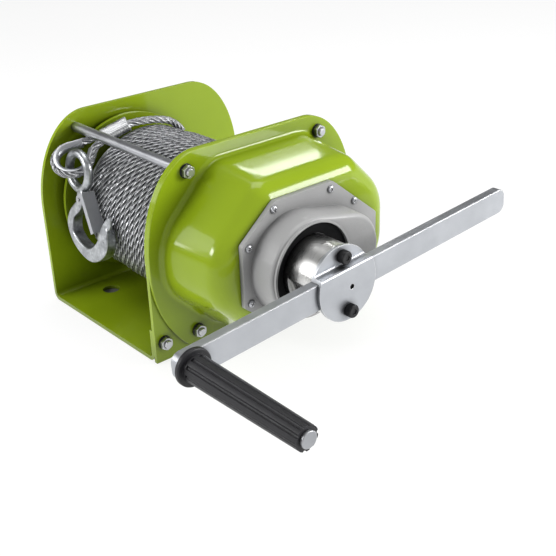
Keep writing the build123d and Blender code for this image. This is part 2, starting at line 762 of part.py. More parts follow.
nose_angle = RATCHET_FACE_ANGLE + math.degrees(PAWL_GAP / RATCHET_TIP_R)
pawl_pivot = (pawl_pin_at[0] - AXIS_Y, pawl_pin_at[1] - AXIS_Z)
pawl_points = [
    polar(RATCHET_ROOT_R + 1, nose_angle),
    polar(RATCHET_TIP_R + 1.6, nose_angle + 8),
    polar(RATCHET_TIP_R + 2, nose_angle + 23),
    (pawl_pivot[0] - PAWL_EYE_R, pawl_pivot[1]),
    (pawl_pivot[0] + PAWL_EYE_R, pawl_pivot[1]),
    polar(RATCHET_TIP_R + 9, nose_angle + 12),
    polar(RATCHET_TIP_R + 5, nose_angle),
]
pawl_x = (RATCHET_X[0] + 0.5, RATCHET_X[1] - 0.5)

with BuildPart() as pawl:
    with BuildSketch(side_plane.offset(pawl_x[0])):
        with Locations((AXIS_Y, AXIS_Z)):
            Polygon(*pawl_points, align=None)
        with Locations(pawl_pin_at):
            Circle(PAWL_EYE_R)
            Circle(PAWL_PIN_R + FIT, mode=Mode.SUBTRACT)
    extrude(amount=pawl_x[1] - pawl_x[0])
save(pawl, "pawl")

with BuildPart() as pawl_pin:
    for start, end, radius in [
        (HUMP_2_TOP - SHEET, HUMP_2_TOP, PAWL_PIN_R),
        (HUMP_2_TOP, pawl_x[0] - 0.3, PAWL_SHOULDER_R),
        (pawl_x[0] - 0.3, PAWL_PIN_END, PAWL_PIN_R),
    ]:
        with BuildSketch(side_plane.offset(start)):
            with Locations(pawl_pin_at):
                Circle(radius)
        extrude(amount=end - start)
save(pawl_pin, "pawl_pin")

# Torsion spring on the pawl pin, with two straight legs
spring_origin = Vector(pawl_x[1] + SPRING_WIRE / 2 + 0.3, *pawl_pin_at)
SPRING_LEG = 8.0
with BuildPart() as pawl_spring:
    with BuildLine() as spring_line:
        spring_start, spring_run = coil_state(spring_origin, SPRING_R, SPRING_PITCH, 0)
        Line(spring_start - spring_run * SPRING_LEG, spring_start)
        coil_arcs(spring_origin, SPRING_R, SPRING_PITCH, SPRING_TURNS)
        spring_end, spring_run = coil_state(spring_origin, SPRING_R, SPRING_PITCH, SPRING_TURNS)
        Line(spring_end, spring_end + spring_run * SPRING_LEG)
    with BuildSketch(Plane(spring_line.line @ 0, z_dir=spring_line.line % 0)):
        Circle(SPRING_WIRE / 2)
    sweep()
print("pawl spring least gap", round(least_gap(spring_line.wire(), SPRING_TURNS + 1, SPRING_WIRE), 2))
save(pawl_spring, "pawl_spring")

# Rope winding: the outer layer of turns over the core, with both ends turned down into the core
wind_origin = Vector(wind_start_x, AXIS_Y, AXIS_Z)


def rope_dive(point, run, inward):
    """End of the winding: a quarter bend and a straight stretch into the core."""
    bend_end = point + (run + inward) * ROPE_END_BEND
    return bend_end, bend_end + inward * ROPE


with BuildPart() as rope_winding:
    with BuildLine() as wind_line:
        wind_start, start_run = coil_state(wind_origin, ROPE_CENTRE_R, wind_pitch, 0)
        wind_end, end_run = coil_state(wind_origin, ROPE_CENTRE_R, wind_pitch, ROPE_TURNS)
        inward = Vector(0, -1, 0)
        start_bend, start_tip = rope_dive(wind_start, start_run * -1, inward)
        end_bend, end_tip = rope_dive(wind_end, end_run, inward)
        Line(start_tip, start_bend)
        TangentArc(start_bend, wind_start, tangent=inward * -1)
        coil_arcs(wind_origin, ROPE_CENTRE_R, wind_pitch, ROPE_TURNS)
        TangentArc(wind_end, end_bend, tangent=end_run)
        Line(end_bend, end_tip)
    with BuildSketch(Plane(wind_line.line @ 0, z_dir=wind_line.line % 0)):
        Circle(ROPE / 2)
    sweep()
print("rope winding least gap", round(least_gap(wind_line.wire(), ROPE_TURNS, ROPE), 2))
save(rope_winding, "rope_winding")

# Hub, clamp, bar and grip
bar_plane = crank_plane.offset(HUB_END + SLIDE_FIT)
bar_top = HUB_END + BAR_THICK + 2 * SLIDE_FIT
ledge = BAR_WIDTH / 2 + SEAT_FIT
clamp_points = [(3, CLAMP_SCREW_V), (-1, -CLAMP_SCREW_V)]
flat_run = polar(1, HUB_FLAT_TURN)
flat_plane = Plane(
    (SET_SCREW_X, AXIS_Y + HUB_FLAT * flat_run[0], AXIS_Z + HUB_FLAT * flat_run[1]),
    x_dir=(1, 0, 0),
    z_dir=(0, *flat_run),
)
SET_SCREW_LENGTH = 14.0
FLAT_LENGTH = 2 * (HUB_END - SET_SCREW_X)

with BuildPart() as crank_hub:
    for start, end, radius in [
        (FRICTION_INNER_X[0], HUB_FLANGE_X[0], SLEEVE_R),
        (*HUB_FLANGE_X, DISC_R + 1),
        (HUB_FLANGE_X[1], HUB_END, HUB_R),
    ]:
        with BuildSketch(crank_plane.offset(start)):
            Circle(radius)
        extrude(amount=end - start)
    with BuildSketch(crank_plane.offset(HUB_END)):
        Circle(HUB_R)
        with Locations((0, HUB_R - ledge)):
            Rectangle(2 * HUB_R, 2 * HUB_R, mode=Mode.SUBTRACT)
    extrude(amount=bar_top - HUB_END)
    with BuildSketch(crank_plane.offset(FRICTION_INNER_X[0])):
        Circle(CRANK_THREAD_R)
    extrude(amount=THREAD_END - FRICTION_INNER_X[0], mode=Mode.SUBTRACT)
    with BuildSketch(flat_plane):
        Rectangle(FLAT_LENGTH, 2 * HUB_R)
    extrude(amount=HUB_R, mode=Mode.SUBTRACT)
    with BuildSketch(flat_plane):
        Circle(SET_SCREW_R)
    extrude(amount=-SET_SCREW_LENGTH, mode=Mode.SUBTRACT)
    with BuildSketch(crank_plane.offset(bar_top)):
        with Locations(*clamp_points):
            Circle(CLAMP_SCREW_R)
    extrude(amount=-2 * BAR_THICK, mode=Mode.SUBTRACT)
save(crank_hub, "crank_hub")

with BuildPart() as hub_set_screw:
    with BuildSketch(flat_plane.offset(-1)):
        Circle(SET_SCREW_R)
    extrude(amount=-(SET_SCREW_LENGTH - 2))
    with BuildSketch(flat_plane.offset(-1)):
        RegularPolygon(SET_SCREW_R / 2, 6)
    extrude(amount=-4, mode=Mode.SUBTRACT)
save(hub_set_screw, "hub_set_screw")

step_v = ledge + CLAMP
fold_plane = Plane(crank_plane.origin, x_dir=crank_plane.y_dir, z_dir=crank_plane.x_dir)
with BuildPart() as bar_clamp:
    with BuildSketch(fold_plane) as fold:
        with BuildLine():
            Polyline(
                (CLAMP_R, HUB_END),
                (ledge, HUB_END),
                (ledge, bar_top),
                (-CLAMP_R, bar_top),
                (-CLAMP_R, bar_top + CLAMP),
                (step_v, bar_top + CLAMP),
                (step_v, HUB_END + CLAMP),
                (CLAMP_R, HUB_END + CLAMP),
                close=True,
            )
        make_face()
        fillet([corner for corner in fold.vertices() if abs(corner.X - step_v) < 0.01], CLAMP_BEND)
    extrude(amount=CLAMP_R, both=True)
    with BuildSketch(crank_plane.offset(HUB_END)):
        Circle(CLAMP_R)
    extrude(amount=2 * BAR_THICK, mode=Mode.INTERSECT)
    with BuildSketch(crank_plane.offset(HUB_END)):
        with Locations(*clamp_points):
            Circle(CLAMP_SCREW_R)
        with Locations(CLAMP_HOLE_AT):
            Circle(CLAMP_HOLE_R)
    extrude(amount=2 * BAR_THICK, mode=Mode.SUBTRACT)
save(bar_clamp, "bar_clamp")


def socket_screw(length):
    """Cap screw with a hexagon socket, its seat at the origin, pointing down."""
    with BuildPart() as screw:
        Cylinder(CLAMP_HEAD_R, CLAMP_HEAD, align=(Align.CENTER, Align.CENTER, Align.MIN))
        fillet(screw.faces().sort_by(Axis.Z)[-1].edges(), 0.8)
        with BuildSketch(Plane.XY.offset(CLAMP_HEAD)):
            RegularPolygon(CLAMP_HEAD_R / 2, 6)
        extrude(amount=-CLAMP_HEAD / 2, mode=Mode.SUBTRACT)
        Cylinder(CLAMP_SCREW_R, length, align=(Align.CENTER, Align.CENTER, Align.MAX))
    return screw.part


upper_screw = socket_screw(CLAMP + BAR_THICK - 1)
lower_screw = socket_screw(CLAMP + BAR_THICK + 6)
with BuildPart() as clamp_screws:
    for screw, level, at in (
        (upper_screw, HUB_END + CLAMP, clamp_points[0]),
        (lower_screw, bar_top + CLAMP, clamp_points[1]),
    ):
        with Locations(crank_plane.offset(level)):
            with Locations(at):
                add(screw)
save(clamp_screws, "clamp_screws")

with BuildPart() as crank_bar:
    with BuildSketch(bar_plane):
        with Locations(((BAR_REAR - BAR_FRONT) / 2, 0)):
            RectangleRounded(BAR_REAR + BAR_FRONT, BAR_WIDTH, BAR_CORNER)
        with Locations((-GRIP_AT, 0)):
            Circle(GRIP_PIN_R, mode=Mode.SUBTRACT)
    extrude(amount=BAR_THICK)
    chamfer(crank_bar.faces().sort_by(Axis.X)[-1].outer_wire().edges(), 0.6)
save(crank_bar, "crank_bar")

bar_face = HUB_END + SLIDE_FIT + BAR_THICK
grip_start = bar_face + 0.3
GRIP_NECK = 3.0
flute_start = grip_start + GRIP_FLANGE + GRIP_NECK
with BuildPart() as flute:
    with BuildSketch():
        with Locations((GRIP_ROOT_R + 0.4, 0)):
            Circle(GRIP_FLUTE_R)
    with BuildSketch(Plane.XY.offset(GRIP_END - flute_start)):
        with Locations((GRIP_TIP_R + 0.4, 0)):
            Circle(GRIP_FLUTE_R)
    loft()

with BuildPart() as grip:
    with BuildSketch(crank_plane.offset(grip_start)):
        with Locations((-GRIP_AT, 0)):
            Circle(GRIP_FLANGE_R)
    extrude(amount=GRIP_FLANGE)
    fillet(grip.faces().sort_by(Axis.X)[-1].edges(), 1.5)
    with BuildSketch(crank_plane.offset(grip_start + GRIP_FLANGE)):
        with Locations((-GRIP_AT, 0)):
            Circle(GRIP_ROOT_R)
    with BuildSketch(crank_plane.offset(GRIP_END)):
        with Locations((-GRIP_AT, 0)):
            Circle(GRIP_TIP_R)
    loft()
    with Locations(crank_plane.offset(flute_start)):
        with Locations((-GRIP_AT, 0)):
            with PolarLocations(0, GRIP_RIBS):
                add(flute.part, mode=Mode.SUBTRACT)
    with BuildSketch(crank_plane.offset(grip_start)):
        with Locations((-GRIP_AT, 0)):
            Circle(GRIP_PIN_R + FIT)
    extrude(amount=GRIP_END - grip_start, mode=Mode.SUBTRACT)
save(grip, "grip")

with BuildPart() as grip_pin:
    for start, end, radius in [
        (HUB_END + SLIDE_FIT - 2, HUB_END + SLIDE_FIT, GRIP_PIN_HEAD_R),
        (HUB_END + SLIDE_FIT, GRIP_END + 0.3, GRIP_PIN_R),
        (GRIP_END + 0.3, GRIP_END + 0.3 + GRIP_PIN_HEAD, GRIP_PIN_HEAD_R),
    ]:
        with BuildSketch(crank_plane.offset(start)):
            with Locations((-GRIP_AT, 0)):
                Circle(radius)
        extrude(amount=end - start)
    fillet(grip_pin.faces().sort_by(Axis.X)[-1].edges(), 0.8)
save(grip_pin, "grip_pin")

# Rope end: lead from the winding, ferrule, and the eye round its thimble
ferrule_back = FERRULE_FRONT - FERRULE_RUN * FERRULE_LENGTH
knee = FERRULE_FRONT + FERRULE_RUN * LEG_BEND_AT
loop_run = (LOOP_CENTRE - knee).normalized()
leg_length = (LOOP_CENTRE - knee).length
across = (LOOP_ACROSS - loop_run * LOOP_ACROSS.dot(loop_run)).normalized()
loop_plane = Plane(LOOP_CENTRE, x_dir=loop_run, z_dir=loop_run.cross(across))
ferrule_across = (across - FERRULE_RUN * across.dot(FERRULE_RUN)).normalized()


def loop_point(along, aside):
    """Point in the plane of the rope's eye."""
    return loop_plane.from_local_coords(Vector(along, aside, 0))


def bend_radii(points, share):
    """Radii of bends that take up a share of the straight runs beside them."""
    runs = [second - first for first, second in zip(points, points[1:])]
    radii = []
    for first, second in zip(runs, runs[1:]):
        half_turn = math.radians(first.get_angle(second) / 2)
        radii.append(share * min(first.length, second.length) / math.tan(half_turn))
    return radii


with BuildPart() as ferrule:
    with BuildSketch(Plane(ferrule_back, x_dir=ferrule_across, z_dir=FERRULE_RUN)):
        SlotOverall(2 * LEG_SPACING + ROPE + 0.4, 2 * FERRULE_R)
    extrude(amount=FERRULE_LENGTH)
    fillet(ferrule.faces().sort_by(Axis.Y)[0].edges(), 1.2)
    fillet(ferrule.faces().sort_by(Axis.Y)[-1].edges(), 1.2)
save(ferrule, "ferrule")

lead_x = ferrule_back.X + LEAD_SHIFT
lead_points = [ferrule_back + FERRULE_RUN * ROPE_GRIPPED, ferrule_back - FERRULE_RUN]
for lead_turn in LEAD_TURNS:
    lead_y, lead_z = polar(LEAD_CLEAR, 90 - lead_turn)
    lead_points.append(Vector(lead_x, AXIS_Y + lead_y, AXIS_Z + lead_z))
lead_radii = bend_radii(lead_points, 0.45)
with BuildPart() as rope_lead:
    with BuildLine() as lead_line:
        FilletPolyline(*lead_points, radius=lead_radii)
    with BuildSketch(Plane(lead_points[0], z_dir=FERRULE_RUN * -1)):
        Circle(ROPE / 2)
    sweep(path=lead_line.wire())
save(rope_lead, "rope_lead")

leg_angle = math.atan2(LEG_SPACING, -leg_length)
touch_angle = leg_angle - math.acos(LOOP_R / math.hypot(leg_length, LEG_SPACING))
touch = polar(LOOP_R, math.degrees(touch_angle))


def leg_points(side):
    """One leg of the rope's eye, from inside the ferrule to where it meets the round of the eye."""
    bend = loop_point(-leg_length, side * LEG_SPACING)
    return [bend - FERRULE_RUN * (LEG_BEND_AT + ROPE_GRIPPED), bend, loop_point(touch[0], side * touch[1])]


leg_a = leg_points(1)
leg_b = leg_points(-1)
with BuildPart() as rope_eye:
    with BuildLine() as eye_line:
        FilletPolyline(*leg_a, radius=bend_radii(leg_a, 0.3))
        ThreePointArc(leg_a[2], loop_point(LOOP_R, 0), leg_b[2])
        FilletPolyline(*reversed(leg_b), radius=bend_radii(leg_b, 0.3))
    with BuildSketch(Plane(leg_a[0], z_dir=FERRULE_RUN)):
        Circle(ROPE / 2)
    sweep(path=eye_line.wire())
save(rope_eye, "rope_eye")

rope_section = math.pi * ROPE**2 / 4
for cord_name, cord_line, cord in (("lead", lead_line, rope_lead), ("eye", eye_line, rope_eye)):
    drawn = cord.part.volume / rope_section
    print("rope", cord_name, "length", round(cord_line.wire().length, 1), "by volume", round(drawn, 1))
for leg in (leg_a, leg_b):
    print("rope eye bend", [round(radius, 1) for radius in bend_radii(leg, 0.3)])

# Thimble: a channel round the inside of the rope's eye
thimble_share = (leg_length - THIMBLE_END) / (leg_length + touch[0])
thimble_a = leg_a[1] + (leg_a[2] - leg_a[1]) * thimble_share
thimble_b = leg_b[1] + (leg_b[2] - leg_b[1]) * thimble_share
with BuildPart() as thimble:
    with BuildLine() as thimble_line:
        Line(thimble_a, leg_a[2])
        ThreePointArc(leg_a[2], loop_point(LOOP_R, 0), leg_b[2])
        Line(leg_b[2], thimble_b)
    with BuildSketch(Plane(thimble_a, x_dir=loop_plane.z_dir, z_dir=leg_a[2] - leg_a[1])):
        Circle(ROPE / 2 + THIMBLE_GAP + THIMBLE_WALL)
        Circle(ROPE / 2 + THIMBLE_GAP, mode=Mode.SUBTRACT)
        with Locations((0, -ROPE)):
            Rectangle(4 * ROPE, 2 * ROPE, mode=Mode.SUBTRACT)
    sweep(path=thimble_line.wire())
save(thimble, "thimble")

# Hook: forged bowl of varying section under an eye in the same plane
rope_in_hook = loop_point(*polar(LOOP_R, HOOK_AT))
level = Vector(math.cos(HOOK_TURN), math.sin(HOOK_TURN), 0)
front = Vector(math.sin(HOOK_TURN), -math.cos(HOOK_TURN), 0)
upright = Vector(0, 0, 1)
hook_x = level * math.cos(HOOK_TILT) + upright * math.sin(HOOK_TILT)
hook_rise = upright * math.cos(HOOK_TILT) - level * math.sin(HOOK_TILT)
hook_y = hook_rise * math.cos(HOOK_LEAN) - front * math.sin(HOOK_LEAN)
eye_at = rope_in_hook + hook_y * HOOK_LIFT
hook_plane = Plane(eye_at, x_dir=hook_x, z_dir=hook_x.cross(hook_y))
hook_stations = [
    ((0, -17.5), (0, -1), 9.0, 7.5),
    ((2, -25), (0, -1), 11.0, 10.9),
    ((-5, -34.5), (-0.8, -0.6), 10.5, 11.1),
    ((-16.5, -41), (-0.72, -0.7), 10.0, 12.0),
    ((-23.6, -50), (-0.2, -1), 10.0, 13.0),
    ((-24.4, -58.5), (0.1, -1), 9.0, 13.0),
    ((-20.5, -67.5), (0.55, -0.84), 9.5, 13.0),
    ((-8, -79), (0.88, -0.48), 11.5, 13.0),
    ((5.3, -84.3), (1, 0), 14.0, 13.0),
    ((21.5, -81.5), (0.88, 0.47), 17.0, 13.0),
    ((32, -74), (0.6, 0.8), 17.5, 12.5),
    ((35.6, -65), (0.25, 0.97), 15.5, 11.0),
    ((39, -56.5), (0.5, 0.87), 10.5, 8.0),
    ((46.5, -48.3), (0.68, 0.73), 4.0, 4.4),
]


def hook_point(at):
    """Point in the hook's plane."""
    return hook_plane.from_local_coords(Vector(*at, 0))


def hook_section(at, run, depth, width):
    """Section square to the hook's line, from its point and direction in the hook's plane."""
    along = hook_point((at[0] + run[0], at[1] + run[1])) - hook_point(at)
    with BuildSketch(Plane(hook_point(at), x_dir=hook_plane.z_dir, z_dir=along)) as section:
        RectangleRounded(width, depth, HOOK_CORNER)
    return section.sketch


latch_run = hook_y * -math.cos(LATCH_SLANT) + hook_x * math.sin(LATCH_SLANT)
latch_plane = Plane(hook_point(LATCH_PIVOT), x_dir=latch_run, z_dir=hook_plane.z_dir)

with BuildPart() as hook:
    loft([hook_section(*station) for station in hook_stations])
    with Locations(hook_plane):
        Torus(HOOK_EYE_R, HOOK_WIRE_R)
    with BuildSketch(latch_plane):
        Circle(LATCH_PIN_R)
    extrude(amount=LATCH_WIDTH, both=True, mode=Mode.SUBTRACT)
save(hook, "hook")
print("hook eye", [round(value, 2) for value in eye_at], "rope", [round(value, 2) for value in rope_in_hook])
print("hook across", [round(value, 4) for value in hook_x])
print("hook normal", [round(value, 4) for value in hook_plane.z_dir])
print("latch pivot", [round(value, 2) for value in hook_point(LATCH_PIVOT)])

# Safety latch: bent sheet that closes the hook's mouth, with ears on a pin through the neck
web_inner = LATCH_REACH - LATCH_SHEET
with BuildPart() as hook_latch:
    with BuildSketch(latch_plane):
        Circle(LATCH_EAR_R)
        with Locations((0, LATCH_REACH / 2)):
            Rectangle(2 * LATCH_EAR_R, LATCH_REACH)
        with Locations(((LATCH_LENGTH - LATCH_EAR_R) / 2, LATCH_REACH - LATCH_DEPTH / 2)):
            Rectangle(LATCH_LENGTH + LATCH_EAR_R, LATCH_DEPTH)
    extrude(amount=LATCH_WIDTH / 2, both=True)
    with BuildSketch(latch_plane):
        with Locations((0, web_inner - LATCH_LENGTH)):
            Rectangle(4 * LATCH_LENGTH, 2 * LATCH_LENGTH)
    extrude(amount=LATCH_WIDTH / 2 - LATCH_SHEET, both=True, mode=Mode.SUBTRACT)
    with BuildSketch(latch_plane):
        Circle(LATCH_PIN_R + FIT)
    extrude(amount=LATCH_WIDTH, both=True, mode=Mode.SUBTRACT)
save(hook_latch, "hook_latch")

with BuildPart() as latch_pin:
    with BuildSketch(latch_plane):
        Circle(LATCH_PIN_R)
    extrude(amount=LATCH_PIN_LENGTH / 2, both=True)
save(latch_pin, "latch_pin")
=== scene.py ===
"""Looks of the hand winch: materials, stranded wire rope, gear cover, fasteners, floor, light and camera."""

import json
import math

import bpy
import numpy as np
from mathutils import Matrix, Vector


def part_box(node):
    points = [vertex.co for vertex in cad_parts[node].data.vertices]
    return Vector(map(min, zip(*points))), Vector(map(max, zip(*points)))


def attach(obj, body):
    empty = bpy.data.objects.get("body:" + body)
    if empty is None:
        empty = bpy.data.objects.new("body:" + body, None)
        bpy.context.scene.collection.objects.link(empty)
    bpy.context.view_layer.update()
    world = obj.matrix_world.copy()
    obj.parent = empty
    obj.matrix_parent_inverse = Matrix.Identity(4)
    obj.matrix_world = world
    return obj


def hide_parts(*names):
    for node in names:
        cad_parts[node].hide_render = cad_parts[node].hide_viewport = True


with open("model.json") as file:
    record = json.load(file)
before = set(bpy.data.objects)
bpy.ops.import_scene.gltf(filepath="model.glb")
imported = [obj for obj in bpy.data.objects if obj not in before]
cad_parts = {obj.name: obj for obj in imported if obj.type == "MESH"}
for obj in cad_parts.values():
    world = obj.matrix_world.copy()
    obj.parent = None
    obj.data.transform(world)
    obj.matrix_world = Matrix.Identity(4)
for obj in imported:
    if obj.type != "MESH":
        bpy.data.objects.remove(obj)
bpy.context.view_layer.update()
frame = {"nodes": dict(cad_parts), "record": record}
NODES = frame["nodes"]
SCENE = bpy.context.scene
MM = 0.001

# Camera, from the photograph's vanishing points
IMAGE_PX = 556.0
FOCAL_PX = 959.66
SENSOR_MM = 36.0
CAMERA_AT = Vector((0.7714, -0.5498, 0.4758))
CAMERA_FORWARD = Vector((-0.6820, 0.5818, -0.4432))
CAMERA_UP = Vector((-0.3143, 0.3140, 0.8959))

# Rope sizes in metres
ROPE_R = 4.0 * MM
STRANDS = 6
STRAND_R = 1.34 * MM
STRAND_AT = 2.62 * MM
ROPE_LAY = 44.0 * MM
WIRES = 12
WIRE_TURNS_PER_M = 500.0
DRUM_Y = -25.0 * MM
DRUM_Z = 102.0 * MM


# Mesh helpers

def unit(v):
    """Rows of v at length one."""
    return v / np.linalg.norm(v, axis=-1, keepdims=True)


def grid_faces(rows, columns):
    """Quads of a grid of points whose columns run round."""
    faces = []
    for i in range(rows - 1):
        for j in range(columns):
            k = (j + 1) % columns
            faces.append((i * columns + j, i * columns + k, (i + 1) * columns + k, (i + 1) * columns + j))
    return faces


def ring(x, at, radius, sides):
    """Points round a line along X through a place in Y and Z; radius is one number or one for each point."""
    turn = np.linspace(0.0, 2 * math.pi, sides, endpoint=False)
    return np.stack([np.full(sides, x), at[0] + radius * np.cos(turn), at[1] + radius * np.sin(turn)], axis=1)


def stack(rings):
    """Skin over rings of points, closed at both ends."""
    sides = len(rings[0])
    faces = grid_faces(len(rings), sides)
    faces.append(tuple(reversed(range(sides))))
    last = (len(rings) - 1) * sides
    faces.append(tuple(last + i for i in range(sides)))
    return np.concatenate(rings), faces


def merged(parts):
    """One mesh of several."""
    points, faces, count = [], [], 0
    for some_points, some_faces in parts:
        faces += [tuple(i + count for i in face) for face in some_faces]
        points.append(some_points)
        count += len(some_points)
    return np.concatenate(points), faces


def piece(name, points, faces, body, slot, material, uv=None, sharp=None):
    """A mesh piece that rides on a body, smooth except across edges sharper than an angle."""
    mesh = bpy.data.meshes.new(name)
    mesh.from_pydata([tuple(p) for p in points], [], faces)
    if uv is not None:
        layer = mesh.uv_layers.new(name="UVMap")
        loops = np.zeros(len(mesh.loops), np.int32)
        mesh.loops.foreach_get("vertex_index", loops)
        layer.data.foreach_set("uv", np.asarray(uv, np.float32)[loops].ravel())
    mesh.shade_smooth()
    if sharp is not None:
        mesh.set_sharp_from_angle(angle=math.radians(sharp))
    mesh.materials.append(material)
    made = bpy.data.objects.new(name, mesh)
    SCENE.collection.objects.link(made)
    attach(made, body)
    return made


def carried_frames(path):
    """Normal and binormal along a path, turned as little as possible."""
    tangent = unit(np.gradient(path, axis=0))
    start = np.cross(tangent[0], (0.3, 0.2, 0.9))
    normal = [start / np.linalg.norm(start)]
    for t in tangent[1:]:
        n = normal[-1] - np.dot(normal[-1], t) * t
        normal.append(n / np.linalg.norm(n))
    normal = np.array(normal)
    return normal, np.cross(tangent, normal)


def rope_mesh(path, normal, binormal, sides=9):
    """Points, faces and texture places of the strands of a rope laid round a path."""
    steps = np.linalg.norm(np.diff(path, axis=0), axis=1)
    along = np.concatenate([[0.0], np.cumsum(steps)])
    points, faces, places = [], [], []
    turn = np.linspace(0.0, 2 * math.pi, sides, endpoint=False)
    for k in range(STRANDS):
        phase = 2 * math.pi * (along / ROPE_LAY + k / STRANDS)
        out = np.cos(phase)[:, None] * normal + np.sin(phase)[:, None] * binormal
        middle = path + STRAND_AT * out
        run = unit(np.gradient(middle, axis=0))
        up = unit(out - np.sum(out * run, axis=1, keepdims=True) * run)
        side = np.cross(run, up)
        skin = middle[:, None] + STRAND_R * (
            np.cos(turn)[None, :, None] * up[:, None] + np.sin(turn)[None, :, None] * side[:, None]
        )
        base = len(points) * len(path) * sides
        last = base + (len(path) - 1) * sides
        faces += [tuple(base + i for i in f) for f in grid_faces(len(path), sides)]
        faces.append(tuple(reversed(range(base, base + sides))))
        faces.append(tuple(range(last, last + sides)))
        v = np.tile(turn / (2 * math.pi), len(path))
        u = np.repeat(along, sides)
        points.append(skin.reshape(-1, 3))
        places.append(np.stack([u, v], axis=1))
    return np.concatenate(points), faces, np.concatenate(places)


# Material helpers

class Look:
    """A material's node tree, with short calls for its nodes."""

    def __init__(self, name, **fixed):
        self.material = bpy.data.materials.new(name)
        self.material.use_nodes = True
        self.tree = self.material.node_tree
        self.shader = self.tree.nodes["Principled BSDF"]
        for key, value in fixed.items():
            self.shader.inputs[key.replace("_", " ")].default_value = value
        self.place = self.add("ShaderNodeTexCoord").outputs["Object"]

    def add(self, kind, **settings):
        node = self.tree.nodes.new(kind)
        for key, value in settings.items():
            setattr(node, key, value)
        return node

    def join(self, source, target):
        self.tree.links.new(source, target)

    def feed(self, key, source):
        self.join(source, self.shader.inputs[key])

    def stretched(self, scale):
        node = self.add("ShaderNodeMapping")
        self.join(self.place, node.inputs["Vector"])
        node.inputs["Scale"].default_value = scale
        return node.outputs["Vector"]

    def noise(self, scale, detail=3.0, rough=0.5, place=None):
        node = self.add("ShaderNodeTexNoise")
        self.join(place or self.place, node.inputs["Vector"])
        node.inputs["Scale"].default_value = scale
        node.inputs["Detail"].default_value = detail
        node.inputs["Roughness"].default_value = rough
        return node.outputs["Fac"]

    def cells(self, scale):
        node = self.add("ShaderNodeTexVoronoi")
        self.join(self.place, node.inputs["Vector"])
        node.inputs["Scale"].default_value = scale
        return node.outputs["Distance"]

    def ramp(self, factor, *stops):
        node = self.add("ShaderNodeValToRGB")
        self.join(factor, node.inputs["Fac"])
        elements = node.color_ramp.elements
        while len(elements) < len(stops):
            elements.new(0.5)
        for element, (at, colour) in zip(elements, stops):
            element.position = at
            element.color = (*colour, 1.0) if isinstance(colour, tuple) else (colour, colour, colour, 1.0)
        return node.outputs["Color"]

    def span(self, factor, low, high, low_to, high_to):
        node = self.add("ShaderNodeMapRange")
        self.join(factor, node.inputs["Value"])
        for key, value in zip(("From Min", "From Max", "To Min", "To Max"), (low, high, low_to, high_to)):
            node.inputs[key].default_value = value
        return node.outputs["Result"]

    def math(self, operation, a, b=None):
        node = self.add("ShaderNodeMath", operation=operation)
        for socket, value in zip(node.inputs, (a, b)):
            if isinstance(value, (int, float)):
                socket.default_value = value
            elif value is not None:
                self.join(value, socket)
        return node.outputs["Value"]

    def mix(self, factor, a, b, kind="MIX"):
        node = self.add("ShaderNodeMix", data_type="RGBA", blend_type=kind)
        for key, value in (("Factor", factor), ("A", a), ("B", b)):
            named = (s for s in node.inputs if s.name == key and s.type in ("RGBA", "VALUE"))
            socket = next(s for s in named if s.enabled)
            if isinstance(value, float):
                socket.default_value = value
            elif isinstance(value, tuple):
                socket.default_value = (*value, 1.0)
            else:
                self.join(value, socket)
        return next(s for s in node.outputs if s.enabled)

    def bump(self, height, depth, strength=1.0, base=None):
        node = self.add("ShaderNodeBump")
        node.inputs["Strength"].default_value = strength
        node.inputs["Distance"].default_value = depth
        self.join(height, node.inputs["Height"])
        if base is not None:
            self.join(base, node.inputs["Normal"])
        return node.outputs["Normal"]

    def soft_edge(self, radius):
        node = self.add("ShaderNodeBevel", samples=4)
        node.inputs["Radius"].default_value = radius
        return node.outputs["Normal"]

    def edge(self, radius):
        """One along edges, nought on flats."""
        bevel = self.soft_edge(radius)
        flat = self.add("ShaderNodeNewGeometry").outputs["Normal"]
        dot = self.add("ShaderNodeVectorMath", operation="DOT_PRODUCT")
        self.join(bevel, dot.inputs[0])
        self.join(flat, dot.inputs[1])
        return self.span(dot.outputs["Value"], 1.0, 0.88, 0.0, 1.0)

    def with_painted_shade(self, colour, reach, depth):
        """A colour with painted shade: darker where other faces stand close, standing in for contact shadow
        and shade in corners.
        """
        # Painted shade from ambient occlusion, multiplied into the colour
        near = self.add("ShaderNodeAmbientOcclusion", samples=6)
        near.inputs["Distance"].default_value = reach
        kept = self.span(near.outputs["AO"], 0.3, 0.95, 1.0 - depth, 1.0)
        grey = self.add("ShaderNodeCombineColor")
        for key in ("Red", "Green", "Blue"):
            self.join(kept, grey.inputs[key])
        return self.mix(1.0, colour, grey.outputs["Color"], "MULTIPLY")


def paint(name, colour, deep, pale, rough, peel, coat):
    """Gloss or satin paint on metal: slight drift in colour, orange peel, paler along edges where the paint
    is thinner and as a painted highlight there, and painted shade where other faces stand close.
    """
    look = Look(name, Coat_Weight=coat, Coat_Roughness=0.06, IOR=1.5, Specular_IOR_Level=0.2)
    drift = look.ramp(look.noise(9.0, 4.0), (0.3, deep), (0.7, colour))
    speck = look.noise(420.0, 2.0)
    # Paler edges: thinner paint there, and a painted highlight along the edges
    thin_paint_and_highlight = look.math("MULTIPLY", look.edge(1.1 * MM), look.span(look.noise(160.0), 0.35, 0.65, 0.35, 1.0))
    # Painted shade: the colour darkens where other faces stand close
    look.feed("Base Color", look.with_painted_shade(look.mix(thin_paint_and_highlight, drift, pale), reach=45 * MM, depth=0.7))
    look.feed("Roughness", look.span(speck, 0.3, 0.7, rough - 0.04, rough + 0.05))
    soft = look.soft_edge(0.7 * MM)
    look.feed("Normal", look.bump(look.noise(peel, 2.0), 0.12 * MM, 0.25, soft))
    return look.material


